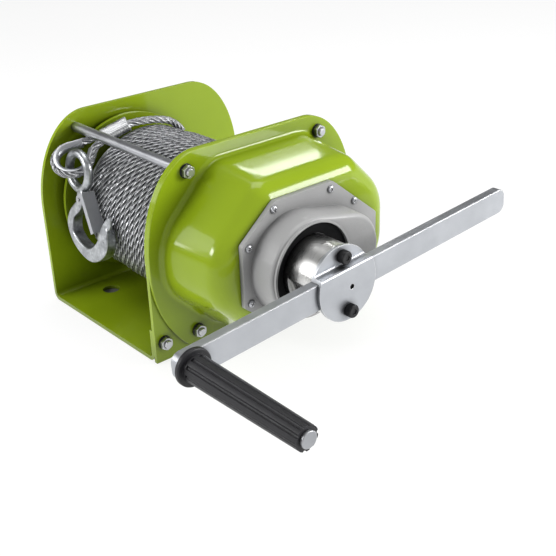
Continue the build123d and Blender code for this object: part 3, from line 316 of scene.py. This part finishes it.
def plated(name, colour, deep, rough, grain):
    """Zinc plated or bare bright steel with fine drawn grain, slight clouds, brighter edges, and painted
    shade where other faces stand close.
    """
    look = Look(name, Metallic=1.0)
    clouds = look.noise(38.0, 5.0, 0.6)
    lines = look.noise(60.0, 3.0, 0.6, look.stretched(grain))
    shade = look.ramp(clouds, (0.3, deep), (0.7, colour))
    worn = look.mix(look.edge(0.6 * MM), shade, (0.92, 0.92, 0.92))
    # Painted shade: the colour darkens where other faces stand close
    look.feed("Base Color", look.with_painted_shade(worn, reach=7 * MM, depth=0.75))
    mixed = look.math("ADD", look.math("MULTIPLY", clouds, 0.5), look.math("MULTIPLY", lines, 0.5))
    look.feed("Roughness", look.span(mixed, 0.3, 0.7, rough - 0.08, rough + 0.1))
    look.feed("Normal", look.bump(lines, 0.05 * MM, 0.3, look.soft_edge(0.35 * MM)))
    return look.material


GREEN_TONES = ((0.285, 0.398, 0.010), (0.256, 0.364, 0.009), (0.42, 0.54, 0.07))
GREY_TONES = ((0.40, 0.40, 0.40), (0.37, 0.37, 0.37), (0.50, 0.50, 0.50))
GREEN = paint("green_paint_look", *GREEN_TONES, rough=0.2, peel=520.0, coat=0.4)
GREY = paint("grey_paint_look", *GREY_TONES, rough=0.36, peel=900.0, coat=0.1)
ZINC = plated("zinc_look", (0.50, 0.51, 0.535), (0.42, 0.43, 0.455), 0.34, (3.0, 3.0, 40.0))
BAR = plated("zinc_bar_look", (0.46, 0.475, 0.50), (0.41, 0.425, 0.45), 0.4, (30.0, 1.5, 30.0))
PIN = plated("pin_look", (0.40, 0.41, 0.43), (0.33, 0.34, 0.36), 0.45, (60.0, 2.0, 2.0))
TURNED = plated("turned_steel_look", (0.72, 0.72, 0.71), (0.62, 0.62, 0.61), 0.27, (70.0, 2.0, 2.0))


def galvanised():
    """Forged steel with a dull spangled zinc coat."""
    look = Look("galvanised_look", Metallic=1.0)
    spangle = look.ramp(look.cells(300.0), (0.1, 0.75), (0.7, 0.3))
    clouds = look.noise(120.0, 5.0, 0.65)
    tone = look.ramp(clouds, (0.3, (0.26, 0.275, 0.285)), (0.7, (0.56, 0.58, 0.60)))
    look.feed("Base Color", look.mix(0.3, tone, spangle, "OVERLAY"))
    look.feed("Roughness", look.span(clouds, 0.3, 0.7, 0.26, 0.44))
    look.feed("Normal", look.bump(clouds, 0.5 * MM, 0.35))
    return look.material


def rope_look():
    """Bright wire strands: fine wires across the lay, with painted shade turning the strands nearly black
    where they face into the grooves between strands.
    """
    look = Look("rope_look", Metallic=1.0)
    uv = look.add("ShaderNodeTexCoord").outputs["UV"]
    split = look.add("ShaderNodeSeparateXYZ")
    look.join(uv, split.inputs[0])
    u, v = split.outputs["X"], split.outputs["Y"]
    round_strand = look.math("MULTIPLY", v, float(WIRES))
    turns = look.math("SUBTRACT", round_strand, look.math("MULTIPLY", u, WIRE_TURNS_PER_M))
    wires = look.math("SINE", look.math("MULTIPLY", turns, 2 * math.pi))
    inner = look.math("COSINE", look.math("MULTIPLY", v, 2 * math.pi))
    # Painted shade: the side of each strand that faces the grooves goes nearly black
    shade = look.span(inner, -0.3, 0.72, 0.0, 1.0)
    tone = look.ramp(look.noise(300.0, 3.0), (0.35, (0.44, 0.45, 0.47)), (0.65, (0.92, 0.93, 0.95)))
    lined = look.mix(look.span(wires, -1.0, -0.3, 0.6, 0.0), tone, (0.16, 0.16, 0.17))
    look.feed("Base Color", look.mix(shade, (0.012, 0.012, 0.014), lined))
    look.feed("Roughness", look.span(wires, -1.0, 1.0, 0.5, 0.3))
    look.feed("Normal", look.bump(wires, 0.12 * MM, 0.7))
    return look.material


def moulded(name, colour, pale, rough, grain, depth, shine):
    """Moulded plastic, rubber or blackened steel with a fine grain."""
    look = Look(name, Specular_IOR_Level=shine)
    mottle = look.noise(70.0, 4.0)
    fine = look.noise(grain, 3.0, 0.6)
    body = look.ramp(mottle, (0.3, colour), (0.75, pale))
    rubbed = tuple(3.0 * c for c in pale)
    look.feed("Base Color", look.mix(look.math("MULTIPLY", look.edge(0.5 * MM), 0.6), body, rubbed))
    look.feed("Roughness", look.span(fine, 0.3, 0.7, rough - 0.08, rough + 0.1))
    look.feed("Normal", look.bump(fine, depth, 0.5, look.soft_edge(0.35 * MM)))
    return look.material


def pressed(name, axis, pitch):
    """Bright soft metal with fine ridges pressed across an axis, with painted shade in the troughs between
    the ridges.
    """
    look = Look(name, Metallic=1.0)
    along = look.add("ShaderNodeVectorMath", operation="DOT_PRODUCT")
    look.join(look.place, along.inputs[0])
    along.inputs[1].default_value = axis
    ridges = look.math("SINE", look.math("MULTIPLY", along.outputs["Value"], 2 * math.pi / pitch))
    clouds = look.noise(90.0, 4.0)
    tone = look.ramp(clouds, (0.3, (0.46, 0.47, 0.48)), (0.7, (0.62, 0.63, 0.64)))
    # Painted shade: the troughs between the ridges are darker
    look.feed("Base Color", look.mix(look.span(ridges, -1.0, 0.0, 0.45, 0.0), tone, (0.25, 0.25, 0.26)))
    look.feed("Roughness", look.span(clouds, 0.3, 0.7, 0.22, 0.36))
    look.feed("Normal", look.bump(ridges, 0.25 * MM, 0.6, look.soft_edge(1.2 * MM)))
    return look.material


GALVANISED = galvanised()
FERRULE_RUN = (-0.35, 0.897, 0.269)
FERRULE_PITCH = 1.7 * MM
PRESSED = pressed("pressed_alloy_look", FERRULE_RUN, FERRULE_PITCH)
ROPE = rope_look()
PLASTIC_TONES = ((0.008, 0.008, 0.010), (0.014, 0.014, 0.017))
RUBBER_TONES = ((0.003, 0.003, 0.0035), (0.006, 0.006, 0.0065))
BLACK_TONES = ((0.006, 0.006, 0.007), (0.012, 0.012, 0.013))
LINING_TONES = ((0.10, 0.07, 0.05), (0.17, 0.12, 0.09))
PLASTIC = moulded("black_plastic_look", *PLASTIC_TONES, rough=0.46, grain=1500.0, depth=0.06 * MM, shine=0.4)
RUBBER = moulded("black_rubber_look", *RUBBER_TONES, rough=0.62, grain=1100.0, depth=0.08 * MM, shine=0.08)
BLACK = moulded("black_steel_look", *BLACK_TONES, rough=0.40, grain=1300.0, depth=0.04 * MM, shine=0.3)
LINING = moulded("friction_look", *LINING_TONES, rough=0.8, grain=800.0, depth=0.15 * MM, shine=0.3)
BRONZE = plated("bronze_look", (0.60, 0.40, 0.18), (0.48, 0.31, 0.13), 0.34, (60.0, 2.0, 2.0))

SLOT_LOOKS = {
    "green_paint": GREEN,
    "grey_paint": GREY,
    "zinc_steel": ZINC,
    "machined_steel": TURNED,
    "forged_steel": GALVANISED,
    "rope_steel": ROPE,
    "black_steel": BLACK,
    "bronze": BRONZE,
    "friction": LINING,
    "black_rubber": RUBBER,
    "black_plastic": PLASTIC,
}
for row in frame["record"]["subparts"]:
    node = NODES[row["node"]]
    node.data.materials.clear()
    node.data.materials.append(SLOT_LOOKS[row["material_slot"]])
for node_name in ("crank_bar", "bar_clamp"):
    NODES[node_name].data.materials[0] = BAR
NODES["ferrule"].data.materials[0] = PRESSED
NODES["grip_pin"].data.materials[0] = PIN

# Camera
right = CAMERA_FORWARD.cross(CAMERA_UP).normalized()
up = right.cross(CAMERA_FORWARD).normalized()
back = -CAMERA_FORWARD.normalized()
camera_data = bpy.data.cameras.new("camera")
camera_data.sensor_width = SENSOR_MM
camera_data.lens = FOCAL_PX / IMAGE_PX * SENSOR_MM
camera_data.clip_start = 0.01
camera_data.clip_end = 100.0
camera = bpy.data.objects.new("camera", camera_data)
SCENE.collection.objects.link(camera)
camera.matrix_world = Matrix.Translation(CAMERA_AT) @ Matrix((right, up, back)).transposed().to_4x4()
SCENE.camera = camera


# Free end of the rope: lead from the drum to the ferrule, and the eye round the thimble

def route(name, points):
    """A smooth line over control points, and the points read from it."""
    data = bpy.data.curves.new(name, "CURVE")
    data.dimensions = "3D"
    data.resolution_u = 24
    spline = data.splines.new("NURBS")
    spline.points.add(len(points) - 1)
    for point, at in zip(spline.points, points):
        point.co = (*(c * MM for c in at), 1.0)
    spline.order_u = 3
    spline.use_endpoint_u = True
    line = bpy.data.objects.new(name, data)
    mesh = bpy.data.meshes.new_from_object(line)
    read = np.array([tuple(v.co) for v in mesh.vertices])
    bpy.data.objects.remove(line)
    bpy.data.curves.remove(data)
    bpy.data.meshes.remove(mesh)
    return read


# Control points in millimetres
LEAD_POINTS = [
    (-46.60, 20.30, 165.50),
    (-46.60, 12.00, 177.86),
    (-46.60, -12.52, 185.47),
    (-51.25, -41.43, 186.93),
    (-55.70, -52.72, 182.26),
]
EYE_POINTS = [
    (-61.45, -58.85, 181.63),
    (-69.20, -78.52, 173.50),
    (-75.31, -91.54, 171.01),
    (-82.27, -106.36, 168.19),
    (-76.96, -119.60, 159.66),
    (-62.95, -122.37, 151.16),
    (-49.65, -112.80, 148.40),
    (-45.98, -97.33, 153.22),
    (-54.41, -86.34, 162.39),
    (-61.81, -76.68, 170.45),
    (-54.06, -57.01, 178.59),
]


def rope_piece(name, points, node):
    """Stranded rope along a route, in the place of its plain solid."""
    path = route(name, points)
    normal, binormal = carried_frames(path)
    verts, faces, places = rope_mesh(path, normal, binormal)
    made = piece(name, verts, faces, "frame", "rope_steel", ROPE, places)
    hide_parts(node)
    return made, path


lead, lead_path = rope_piece("rope_lead_strands", LEAD_POINTS, "rope_lead")
eye, eye_path = rope_piece("rope_eye_strands", EYE_POINTS, "rope_eye")


# Rope on the drum: the outer layer, strand by strand, over the ridges of the layer below

WIND_R = 74.0 * MM
WIND_TURNS = 15
WIND_PITCH = 8.4667 * MM
WIND_START = -50.8 * MM
LAYER_END = -54.8 * MM
LAYER_STEP = 7.9 * MM
DIVE_R = 10.0 * MM
DIVE_RUN = 8.0 * MM
PILE_FROM = -17.0 * MM
PILE_RISE = 1.9 * MM
TURN_STEPS = 96
RIDGE_STEPS = 8
RIDGE_SINK = 0.6 * MM
BARREL_SIDES = 120
BARREL_R = 50.2 * MM


def pile(x):
    """Height of the outer layer over an even winding: a low step up, clear of the hook as it swings."""
    step = np.clip((x - PILE_FROM) / WIND_PITCH, 0.0, 1.0)
    return step * step * (3 - 2 * step) * PILE_RISE


def winding_path():
    """Centre line of the outer layer, its ends turned down into the layer below."""
    share = np.linspace(0.0, 1.0, WIND_TURNS * TURN_STEPS)
    angle = 2 * math.pi * WIND_TURNS * share
    x = WIND_START + WIND_PITCH * WIND_TURNS * share
    radius = WIND_R + pile(x)
    helix = np.stack([x, DRUM_Y + radius * np.cos(angle), DRUM_Z + radius * np.sin(angle)], axis=1)
    bend = np.linspace(0.5 * math.pi, 0.0, 6)[:-1]
    run = np.linspace(1.0, 0.0, 3)[:-1]
    centre_y = DRUM_Y + WIND_R - DIVE_R
    dive = [(0.0, centre_y - DIVE_RUN * s, -DIVE_R) for s in run]
    dive += [(0.0, centre_y + DIVE_R * math.cos(a), -DIVE_R * math.sin(a)) for a in bend]
    dive = np.array(dive)
    head = dive + (x[0], 0.0, DRUM_Z)
    tail = (dive * (1, 1, -1))[::-1] + (x[-1], radius[-1] - WIND_R, DRUM_Z)
    return np.concatenate([head, helix, tail])


winding = winding_path()
axis_points = winding * (1, 0, 0) + (0, DRUM_Y, DRUM_Z)
wind_run = unit(np.gradient(winding, axis=0))
wind_out = winding - axis_points
wind_out = unit(wind_out - np.sum(wind_out * wind_run, axis=1, keepdims=True) * wind_run)
verts, faces, places = rope_mesh(winding, wind_out, np.cross(wind_run, wind_out), sides=7)
wound = piece("rope_winding_strands", verts, faces, "drum", "rope_steel", ROPE, places)
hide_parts("rope_winding")


def inner_layer():
    """Rows of the layer below, as ridges round the barrel."""
    low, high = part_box("rope_core")
    half = high.x
    ridge_r = 0.5 * (high.z - low.z) - RIDGE_SINK
    rows = int(2 * half / (WIND_PITCH / RIDGE_STEPS))
    x = np.linspace(-half, half, rows)
    phase = ((x - WIND_START) / WIND_PITCH + 0.5) % 1.0 - 0.5
    radius = ridge_r - ROPE_R + np.sqrt(np.maximum(ROPE_R**2 - (phase * WIND_PITCH) ** 2, 0.0))
    radius[x < LAYER_END] -= LAYER_STEP
    radius += pile(x)
    radius[0] = radius[-1] = BARREL_R
    turn = np.linspace(0.0, 2 * math.pi, BARREL_SIDES, endpoint=False)
    points = np.stack(
        [
            np.repeat(x, len(turn)),
            DRUM_Y + np.outer(radius, np.cos(turn)).ravel(),
            DRUM_Z + np.outer(radius, np.sin(turn)).ravel(),
        ],
        axis=1,
    )
    along = np.outer(radius, turn).ravel()
    return points, grid_faces(rows, len(turn)), np.stack([along, np.repeat(phase, len(turn))], axis=1)


verts, faces, places = inner_layer()
core = piece("rope_inner_layer", verts, faces, "drum", "rope_steel", ROPE, places)
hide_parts("rope_core")


# Gear cover in millimetres: a flange and one deep eight-sided hump with a wide rounded edge, drawn from sheet

COVER_BACK = 96.6
COVER_SHEET = 3.0
COVER_MID = np.array([0.0, 102.0])
COVER_HALF = 129.0
COVER_HIGH = 200.0
COVER_LOW = 8.0
SHOULDER_RUN = 62.0
SHOULDER_RISE = 95.0
KNEE_TOP = 94.0
KNEE_R = 121.0
RIM_EASE = 0.6
RIM_SHRINK = 0.996
HUMP_REACH = (114.0, 105.0, 83.5, 98.0, 114.5, 99.0, 83.5, 105.0)
HUMP_CORNER = (55.0, 34.0, 31.0, 58.0, 50.0, 34.0, 34.0, 55.0)
HUMP_TOP = 173.0
HUMP_EDGE = 20.0
HUMP_FOOT = 5.0
HUMP_DRAFT = math.radians(7.0)
HUMP_RUN = 10
FLAT_HOLD = 0.8
FRONT_HOLD = 0.7
WALL_SHARES = (0.02, 0.35, 0.65, 0.98)
BORE_AT = np.array([-25.0, 102.0])
BORE_R = 18.0
BORE_WALL = 6.0
BORE_BACK = 158.0


def level(x, flat):
    """Points of Y and Z set at one X."""
    return np.column_stack([np.full(len(flat), x), flat])


def hump_ring(x, inset):
    """Eight-sided outline with round corners, moved inwards; the same count of points at every inset."""
    sides = len(HUMP_REACH)
    centres = []
    for k in range(sides):
        turns = [2 * math.pi * (k + i) / sides for i in (0, 1)]
        reach = [HUMP_REACH[(k + i) % sides] - HUMP_CORNER[k] for i in (0, 1)]
        centres.append(np.linalg.solve([[math.cos(t), math.sin(t)] for t in turns], reach))
    arcs = []
    for k, centre in enumerate(centres):
        turn = np.linspace(2 * math.pi * k / sides, 2 * math.pi * (k + 1) / sides, HUMP_RUN)
        way = np.stack([np.cos(turn), np.sin(turn)], axis=1)
        arcs.append(COVER_MID + centre + (HUMP_CORNER[k] - inset) * way)
    points = []
    for arc, after in zip(arcs, arcs[1:] + arcs[:1]):
        share = np.linspace(0.0, 1.0, HUMP_RUN + 2)[1:-1, None]
        points += [arc, (1 - share) * arc[-1] + share * after[0]]
    return level(x, np.concatenate(points))


def cover_rim():
    """Outline of the flange, from its top middle round to the same place."""
    a = np.radians(np.linspace(0.0, 90.0, 40))
    shoulder_y = COVER_HALF - SHOULDER_RUN + SHOULDER_RUN * np.sin(a)
    shoulder_z = COVER_HIGH - SHOULDER_RISE + SHOULDER_RISE * np.cos(a)
    drop = np.linspace(0.0, math.asin((KNEE_TOP - COVER_LOW) / KNEE_R), 30)
    knee_y = COVER_HALF - KNEE_R + KNEE_R * np.cos(drop)
    knee_z = KNEE_TOP - KNEE_R * np.sin(drop)
    shoulder = np.stack([shoulder_y, shoulder_z], axis=1)
    knee = np.stack([knee_y, knee_z], axis=1)
    right_half = np.concatenate([[(0.0, COVER_HIGH)], shoulder, knee])
    return np.concatenate([right_half, (right_half * (-1, 1))[::-1]])


def cast(towards, rim):
    """Where rays from the middle of the cover through some points meet the rim."""
    met = []
    start, end = rim, np.roll(rim, -1, axis=0)
    for way in unit(towards - COVER_MID):
        along = end - start
        offset = start - COVER_MID
        cross = way[0] * along[:, 1] - way[1] * along[:, 0]
        cross = np.where(np.abs(cross) < 1e-9, 1e-9, cross)
        reach = (offset[:, 0] * along[:, 1] - offset[:, 1] * along[:, 0]) / cross
        share = (offset[:, 0] * way[1] - offset[:, 1] * way[0]) / cross
        good = (reach > 0) & (share > -1e-6) & (share < 1 + 1e-6)
        met.append(COVER_MID + way * reach[good].max())
    return np.array(met)


def drawn_cover():
    """Shell of the cover: rim, foot, wall, rounded edge and front outside, then back along the inside."""
    front = COVER_BACK + COVER_SHEET
    base = hump_ring(front, 0.0)[:, 1:]
    rim = cast(base, cover_rim())
    eased_rim = COVER_MID + (rim - COVER_MID) * RIM_SHRINK
    turn = HUMP_TOP - HUMP_EDGE
    wall_end = math.tan(HUMP_DRAFT) * (turn - front - HUMP_FOOT)
    rings = [level(COVER_BACK, rim), level(front - RIM_EASE, rim), level(front, eased_rim)]
    rings.append(hump_ring(front, -HUMP_FOOT - FLAT_HOLD))
    foot = []
    for a in np.linspace(0.0, 0.5 * math.pi - HUMP_DRAFT, 8):
        foot.append((front + HUMP_FOOT * (1 - math.cos(a)), -HUMP_FOOT * (1 - math.sin(a))))
    edge = []
    for a in np.linspace(HUMP_DRAFT, 0.5 * math.pi, 18):
        edge.append((turn + HUMP_EDGE * math.sin(a), wall_end + HUMP_EDGE * (1 - math.cos(a))))
    wall = [np.array(foot[-1]) * (1 - share) + np.array(edge[0]) * share for share in WALL_SHARES]
    for x, inset in [*foot, *wall, *edge, (HUMP_TOP, edge[-1][1] + FRONT_HOLD)]:
        rings.append(hump_ring(x, inset))
    bore_way = unit(base - BORE_AT)
    bore = BORE_AT + bore_way * BORE_R
    boss = BORE_AT + bore_way * (BORE_R + BORE_WALL)
    rings += [level(HUMP_TOP, bore), level(BORE_BACK, bore)]
    rings += [level(BORE_BACK, boss), level(HUMP_TOP - COVER_SHEET, boss)]
    inner = HUMP_EDGE - COVER_SHEET
    for a in np.linspace(0.5 * math.pi, HUMP_DRAFT, 8):
        inset = wall_end + COVER_SHEET + inner * (1 - math.cos(a))
        rings.append(hump_ring(turn + inner * math.sin(a), inset))
    rings.append(hump_ring(COVER_BACK, COVER_SHEET))
    points = np.concatenate(rings) * MM
    faces = grid_faces(len(rings), len(base))
    last = (len(rings) - 1) * len(base)
    for j in range(len(base)):
        k = (j + 1) % len(base)
        faces.append((last + j, last + k, k, j))
    return points, faces


cover = piece("gear_cover_drawn", *drawn_cover(), "frame", "green_paint", GREEN, sharp=40)
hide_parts("gear_cover")


# Fasteners: nuts on washers, screws with a cross recess, and knurled cap screws

NUT_FLAT = 5.7 * MM
NUT_SEAT = 8.0 * MM
NUT_BASE = 1.2 * MM
NUT_TOP = 5.8 * MM
NUT_EASE = 0.6 * MM
NUT_BORE = 4.3 * MM
SHANK_R = 3.0 * MM
THREAD_ROOT = 3.2 * MM
THREAD_CREST = 3.7 * MM
THREAD_STEP = 0.8 * MM
WASHER_R = 6.9 * MM
WASHER_HOLE = 3.2 * MM
WASHER_HIGH = 1.15 * MM
BOLT_SIDES = 48


def bolt(inner, seat, at):
    """Hexagon nut on a washer, with the end of its thread standing out and its shank through the plates."""
    turn = np.linspace(0.0, 2 * math.pi, BOLT_SIDES, endpoint=False)
    hexagon = NUT_FLAT / np.cos((turn + math.pi / 6) % (math.pi / 3) - math.pi / 6)
    eased = np.minimum(hexagon, 1.05 * NUT_FLAT)
    base, top, end = seat + NUT_BASE, seat + NUT_TOP, seat + NUT_SEAT
    steps = [(inner, SHANK_R - NUT_EASE), (inner + NUT_EASE, SHANK_R), (seat, SHANK_R)]
    steps += [(base, SHANK_R), (base, eased), (base + NUT_EASE, hexagon)]
    steps += [(top - NUT_EASE, hexagon), (top, eased), (top, NUT_BORE)]
    for k in range(3):
        root = top - NUT_EASE + THREAD_STEP * k
        steps += [(root, THREAD_ROOT), (root + 0.5 * THREAD_STEP, THREAD_CREST)]
    steps += [(end - 0.4 * MM, 3.6 * MM), (end, 3.1 * MM)]
    return stack([ring(x, at, radius, BOLT_SIDES) for x, radius in steps])


def washer(seat, at):
    """Flat washer with eased rims."""
    steps = [(0.0, WASHER_HOLE), (0.0, WASHER_R - 0.2 * MM), (0.2 * MM, WASHER_R), (0.9 * MM, WASHER_R)]
    steps += [(WASHER_HIGH, WASHER_R - 0.3 * MM), (WASHER_HIGH, WASHER_HOLE)]
    return stack([ring(seat + x, at, radius, BOLT_SIDES) for x, radius in steps])


def nuts(node):
    """The two bolts of a node and their washers, read from the node's box."""
    low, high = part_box(node)
    z = 0.5 * (low.z + high.z)
    places = [(y, z) for y in (low.y + WASHER_R, high.y - WASHER_R)]
    parts = [bolt(low.x, high.x - NUT_SEAT, at) for at in places]
    made = piece(node + "_nuts", *merged(parts), "frame", "zinc_steel", ZINC, sharp=25)
    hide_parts(node)
    under = [washer(high.x - NUT_SEAT, at) for at in places]
    piece(node + "_washers", *merged(under), "frame", "black_steel", BLACK, sharp=25)


for node_name in ("cover_top_screws", "cover_bottom_screws", "corner_screws"):
    nuts(node_name)


SCREWS_MID_Z = 103.0
COVER_SCREWS = [(-76, 130), (-46, 158), (23, 158), (54, 138)]
HEAD_R = 3.5 * MM
HEAD_HIGH = 2.6 * MM
HEAD_WALL = 0.35
CROSS_WIDE = 0.15
CROSS_LONG = 0.62
CROSS_DEEP = 1.3 * MM


def cross_head(seat, inner, at, turned):
    """Domed head with a cross recess, on its shank."""
    sides = 64
    turn = np.linspace(0.0, 2 * math.pi, sides, endpoint=False)
    steps = [(inner, 1.9 * MM), (seat, 2.0 * MM), (seat, HEAD_R), (seat + HEAD_WALL * HEAD_HIGH, HEAD_R)]
    rings = [ring(x, at, radius, sides) for x, radius in steps]
    for share in np.linspace(0.94, 0.02, 22):
        round_over = seat + HEAD_HIGH * (HEAD_WALL + (1 - HEAD_WALL) * math.sqrt(1 - share**2))
        a = np.abs(share * np.cos(turn + turned))
        b = np.abs(share * np.sin(turn + turned))
        cut = (np.minimum(a, b) < CROSS_WIDE) & (np.maximum(a, b) < CROSS_LONG)
        rows = ring(round_over, at, share * HEAD_R, sides)
        rows[:, 0] -= cut * CROSS_DEEP * (1 - 0.7 * np.maximum(a, b))
        rings.append(rows)
    return stack(rings)


low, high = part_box("brake_cover_screws")
parts = []
for side in (1, -1):
    for index, (y, z) in enumerate(COVER_SCREWS):
        at = (y * MM, (SCREWS_MID_Z + side * (z - SCREWS_MID_Z)) * MM)
        parts.append(cross_head(high.x - HEAD_HIGH, low.x, at, 0.7 * index + side))
cover_screws = piece("brake_cover_screws_cross", *merged(parts), "frame", "zinc_steel", ZINC, sharp=35)
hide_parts("brake_cover_screws")


CLAMP_HEADS = [(240.0, -23.68, 126.15), (249.3, -24.32, 77.99)]
KNURL_SIDES = 144
KNURL_END = 5.7 * MM
KNURL_R = 5.86 * MM
KNURL_RIDGE = 0.3 * MM


def knurl(seat, at):
    """Ridged band round the head of a cap screw."""
    radius = KNURL_R + KNURL_RIDGE * np.tile([0.0, 1.0], KNURL_SIDES // 2)
    steps = [(0.5, KNURL_END), (0.7, radius), (5.9, radius), (6.2, KNURL_END)]
    return stack([ring(seat + h * MM, at, r, KNURL_SIDES) for h, r in steps])


bands = [knurl(x * MM, (y * MM, z * MM)) for x, y, z in CLAMP_HEADS]
piece("clamp_screw_knurls", *merged(bands), "crank", "black_steel", BLACK, sharp=20)


# Floor and light

FLOOR_REACH = 30.0
FLOOR_Z = -0.4 * MM
SHADE_Z = -0.2 * MM
SHADE_INSET = 3 * MM


def sheet(name, left, right, front, rear, z, look):
    """Level oblong of ground."""
    mesh = bpy.data.meshes.new(name)
    corners = [(left, front, z), (right, front, z), (right, rear, z), (left, rear, z)]
    mesh.from_pydata(corners, [], [(0, 1, 2, 3)])
    mesh.materials.append(look.material)
    made = bpy.data.objects.new(name, mesh)
    SCENE.collection.objects.link(made)


def floor():
    """Pale floor that reaches past every view."""
    look = Look("floor_look", Roughness=0.9, Emission_Strength=0.80)
    look.feed("Base Color", look.ramp(look.noise(2.0), (0.3, 0.21), (0.7, 0.22)))
    look.shader.inputs["Emission Color"].default_value = (1.0, 1.0, 1.0, 1.0)
    sheet("floor", -FLOOR_REACH, FLOOR_REACH, -FLOOR_REACH, FLOOR_REACH, FLOOR_Z, look)


def ground_shade():
    """Dark sheet of painted shadow under the base, in place of the shade there; it shows only through the
    bolt holes.
    """
    low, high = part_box("frame")
    look = Look("ground_shade_look", Roughness=0.9)
    look.feed("Base Color", look.ramp(look.noise(20.0), (0.3, 0.10), (0.7, 0.16)))
    left, right = low.x + SHADE_INSET, high.x - SHADE_INSET
    front, rear = low.y + SHADE_INSET, high.y - SHADE_INSET
    sheet("ground_shade", left, right, front, rear, SHADE_Z, look)


def softbox(name, at, aim, wide, high, power, along=None):
    """Oblong light that faces a place; its width runs along a given way, or else level."""
    data = bpy.data.lights.new(name, "AREA")
    data.shape = "RECTANGLE"
    data.size = wide
    data.size_y = high
    data.energy = power
    made = bpy.data.objects.new(name, data)
    SCENE.collection.objects.link(made)
    out = (Vector(at) - Vector(aim)).normalized()
    run = Vector(along or (-out.y, out.x, 0.0))
    side = (run - run.dot(out) * out).normalized()
    turned = Matrix((side, out.cross(side), out)).transposed().to_4x4()
    made.matrix_world = Matrix.Translation(at) @ turned


floor()
ground_shade()

# Each light: its place, what it faces, width and height in metres, and power in watts
MIDDLE = (0.1, 0.0, 0.1)
softbox("key_softbox", (1.43, 1.24, 0.66), MIDDLE, 0.9, 0.75, 36.0)
softbox("back_softbox", (-0.586, 0.712, 0.773), (0.145, -0.01, 0.177), 0.20, 0.023, 0.22, (0.26, 0.94, -0.2))
softbox("hub_softbox", (-0.86, -1.02, 0.74), MIDDLE, 0.6, 0.7, 3.6)
softbox("window_softbox", (-0.83, -1.31, 0.40), MIDDLE, 0.14, 0.12, 0.6)
softbox("fill_softbox", (-0.4, -1.5, 0.8), MIDDLE, 0.5, 0.3, 11.0)
softbox("top_softbox", (-0.2, 0.3, 1.9), MIDDLE, 1.2, 1.2, 14.0)

WORLD_FRONT = Vector((0.55, -0.35, 0.76))


def studio():
    """Walls round the stage: dark behind, paler in front and above."""
    world = bpy.data.worlds.new("studio")
    world.use_nodes = True
    nodes, links = world.node_tree.nodes, world.node_tree.links
    way = nodes.new("ShaderNodeTexCoord").outputs["Generated"]
    facing = nodes.new("ShaderNodeVectorMath")
    facing.operation = "DOT_PRODUCT"
    links.new(way, facing.inputs[0])
    facing.inputs[1].default_value = WORLD_FRONT
    ramp = nodes.new("ShaderNodeValToRGB")
    stops = ramp.color_ramp.elements
    stops[0].position, stops[0].color = 0.0, (0.16, 0.16, 0.16, 1.0)
    stops[1].position, stops[1].color = 0.75, (0.45, 0.45, 0.45, 1.0)
    links.new(facing.outputs["Value"], ramp.inputs["Fac"])
    links.new(ramp.outputs["Color"], nodes["Background"].inputs["Color"])
    nodes["Background"].inputs["Strength"].default_value = 1.0
    return world


SCENE.world = studio()
SCENE.view_settings.view_transform = "Standard"
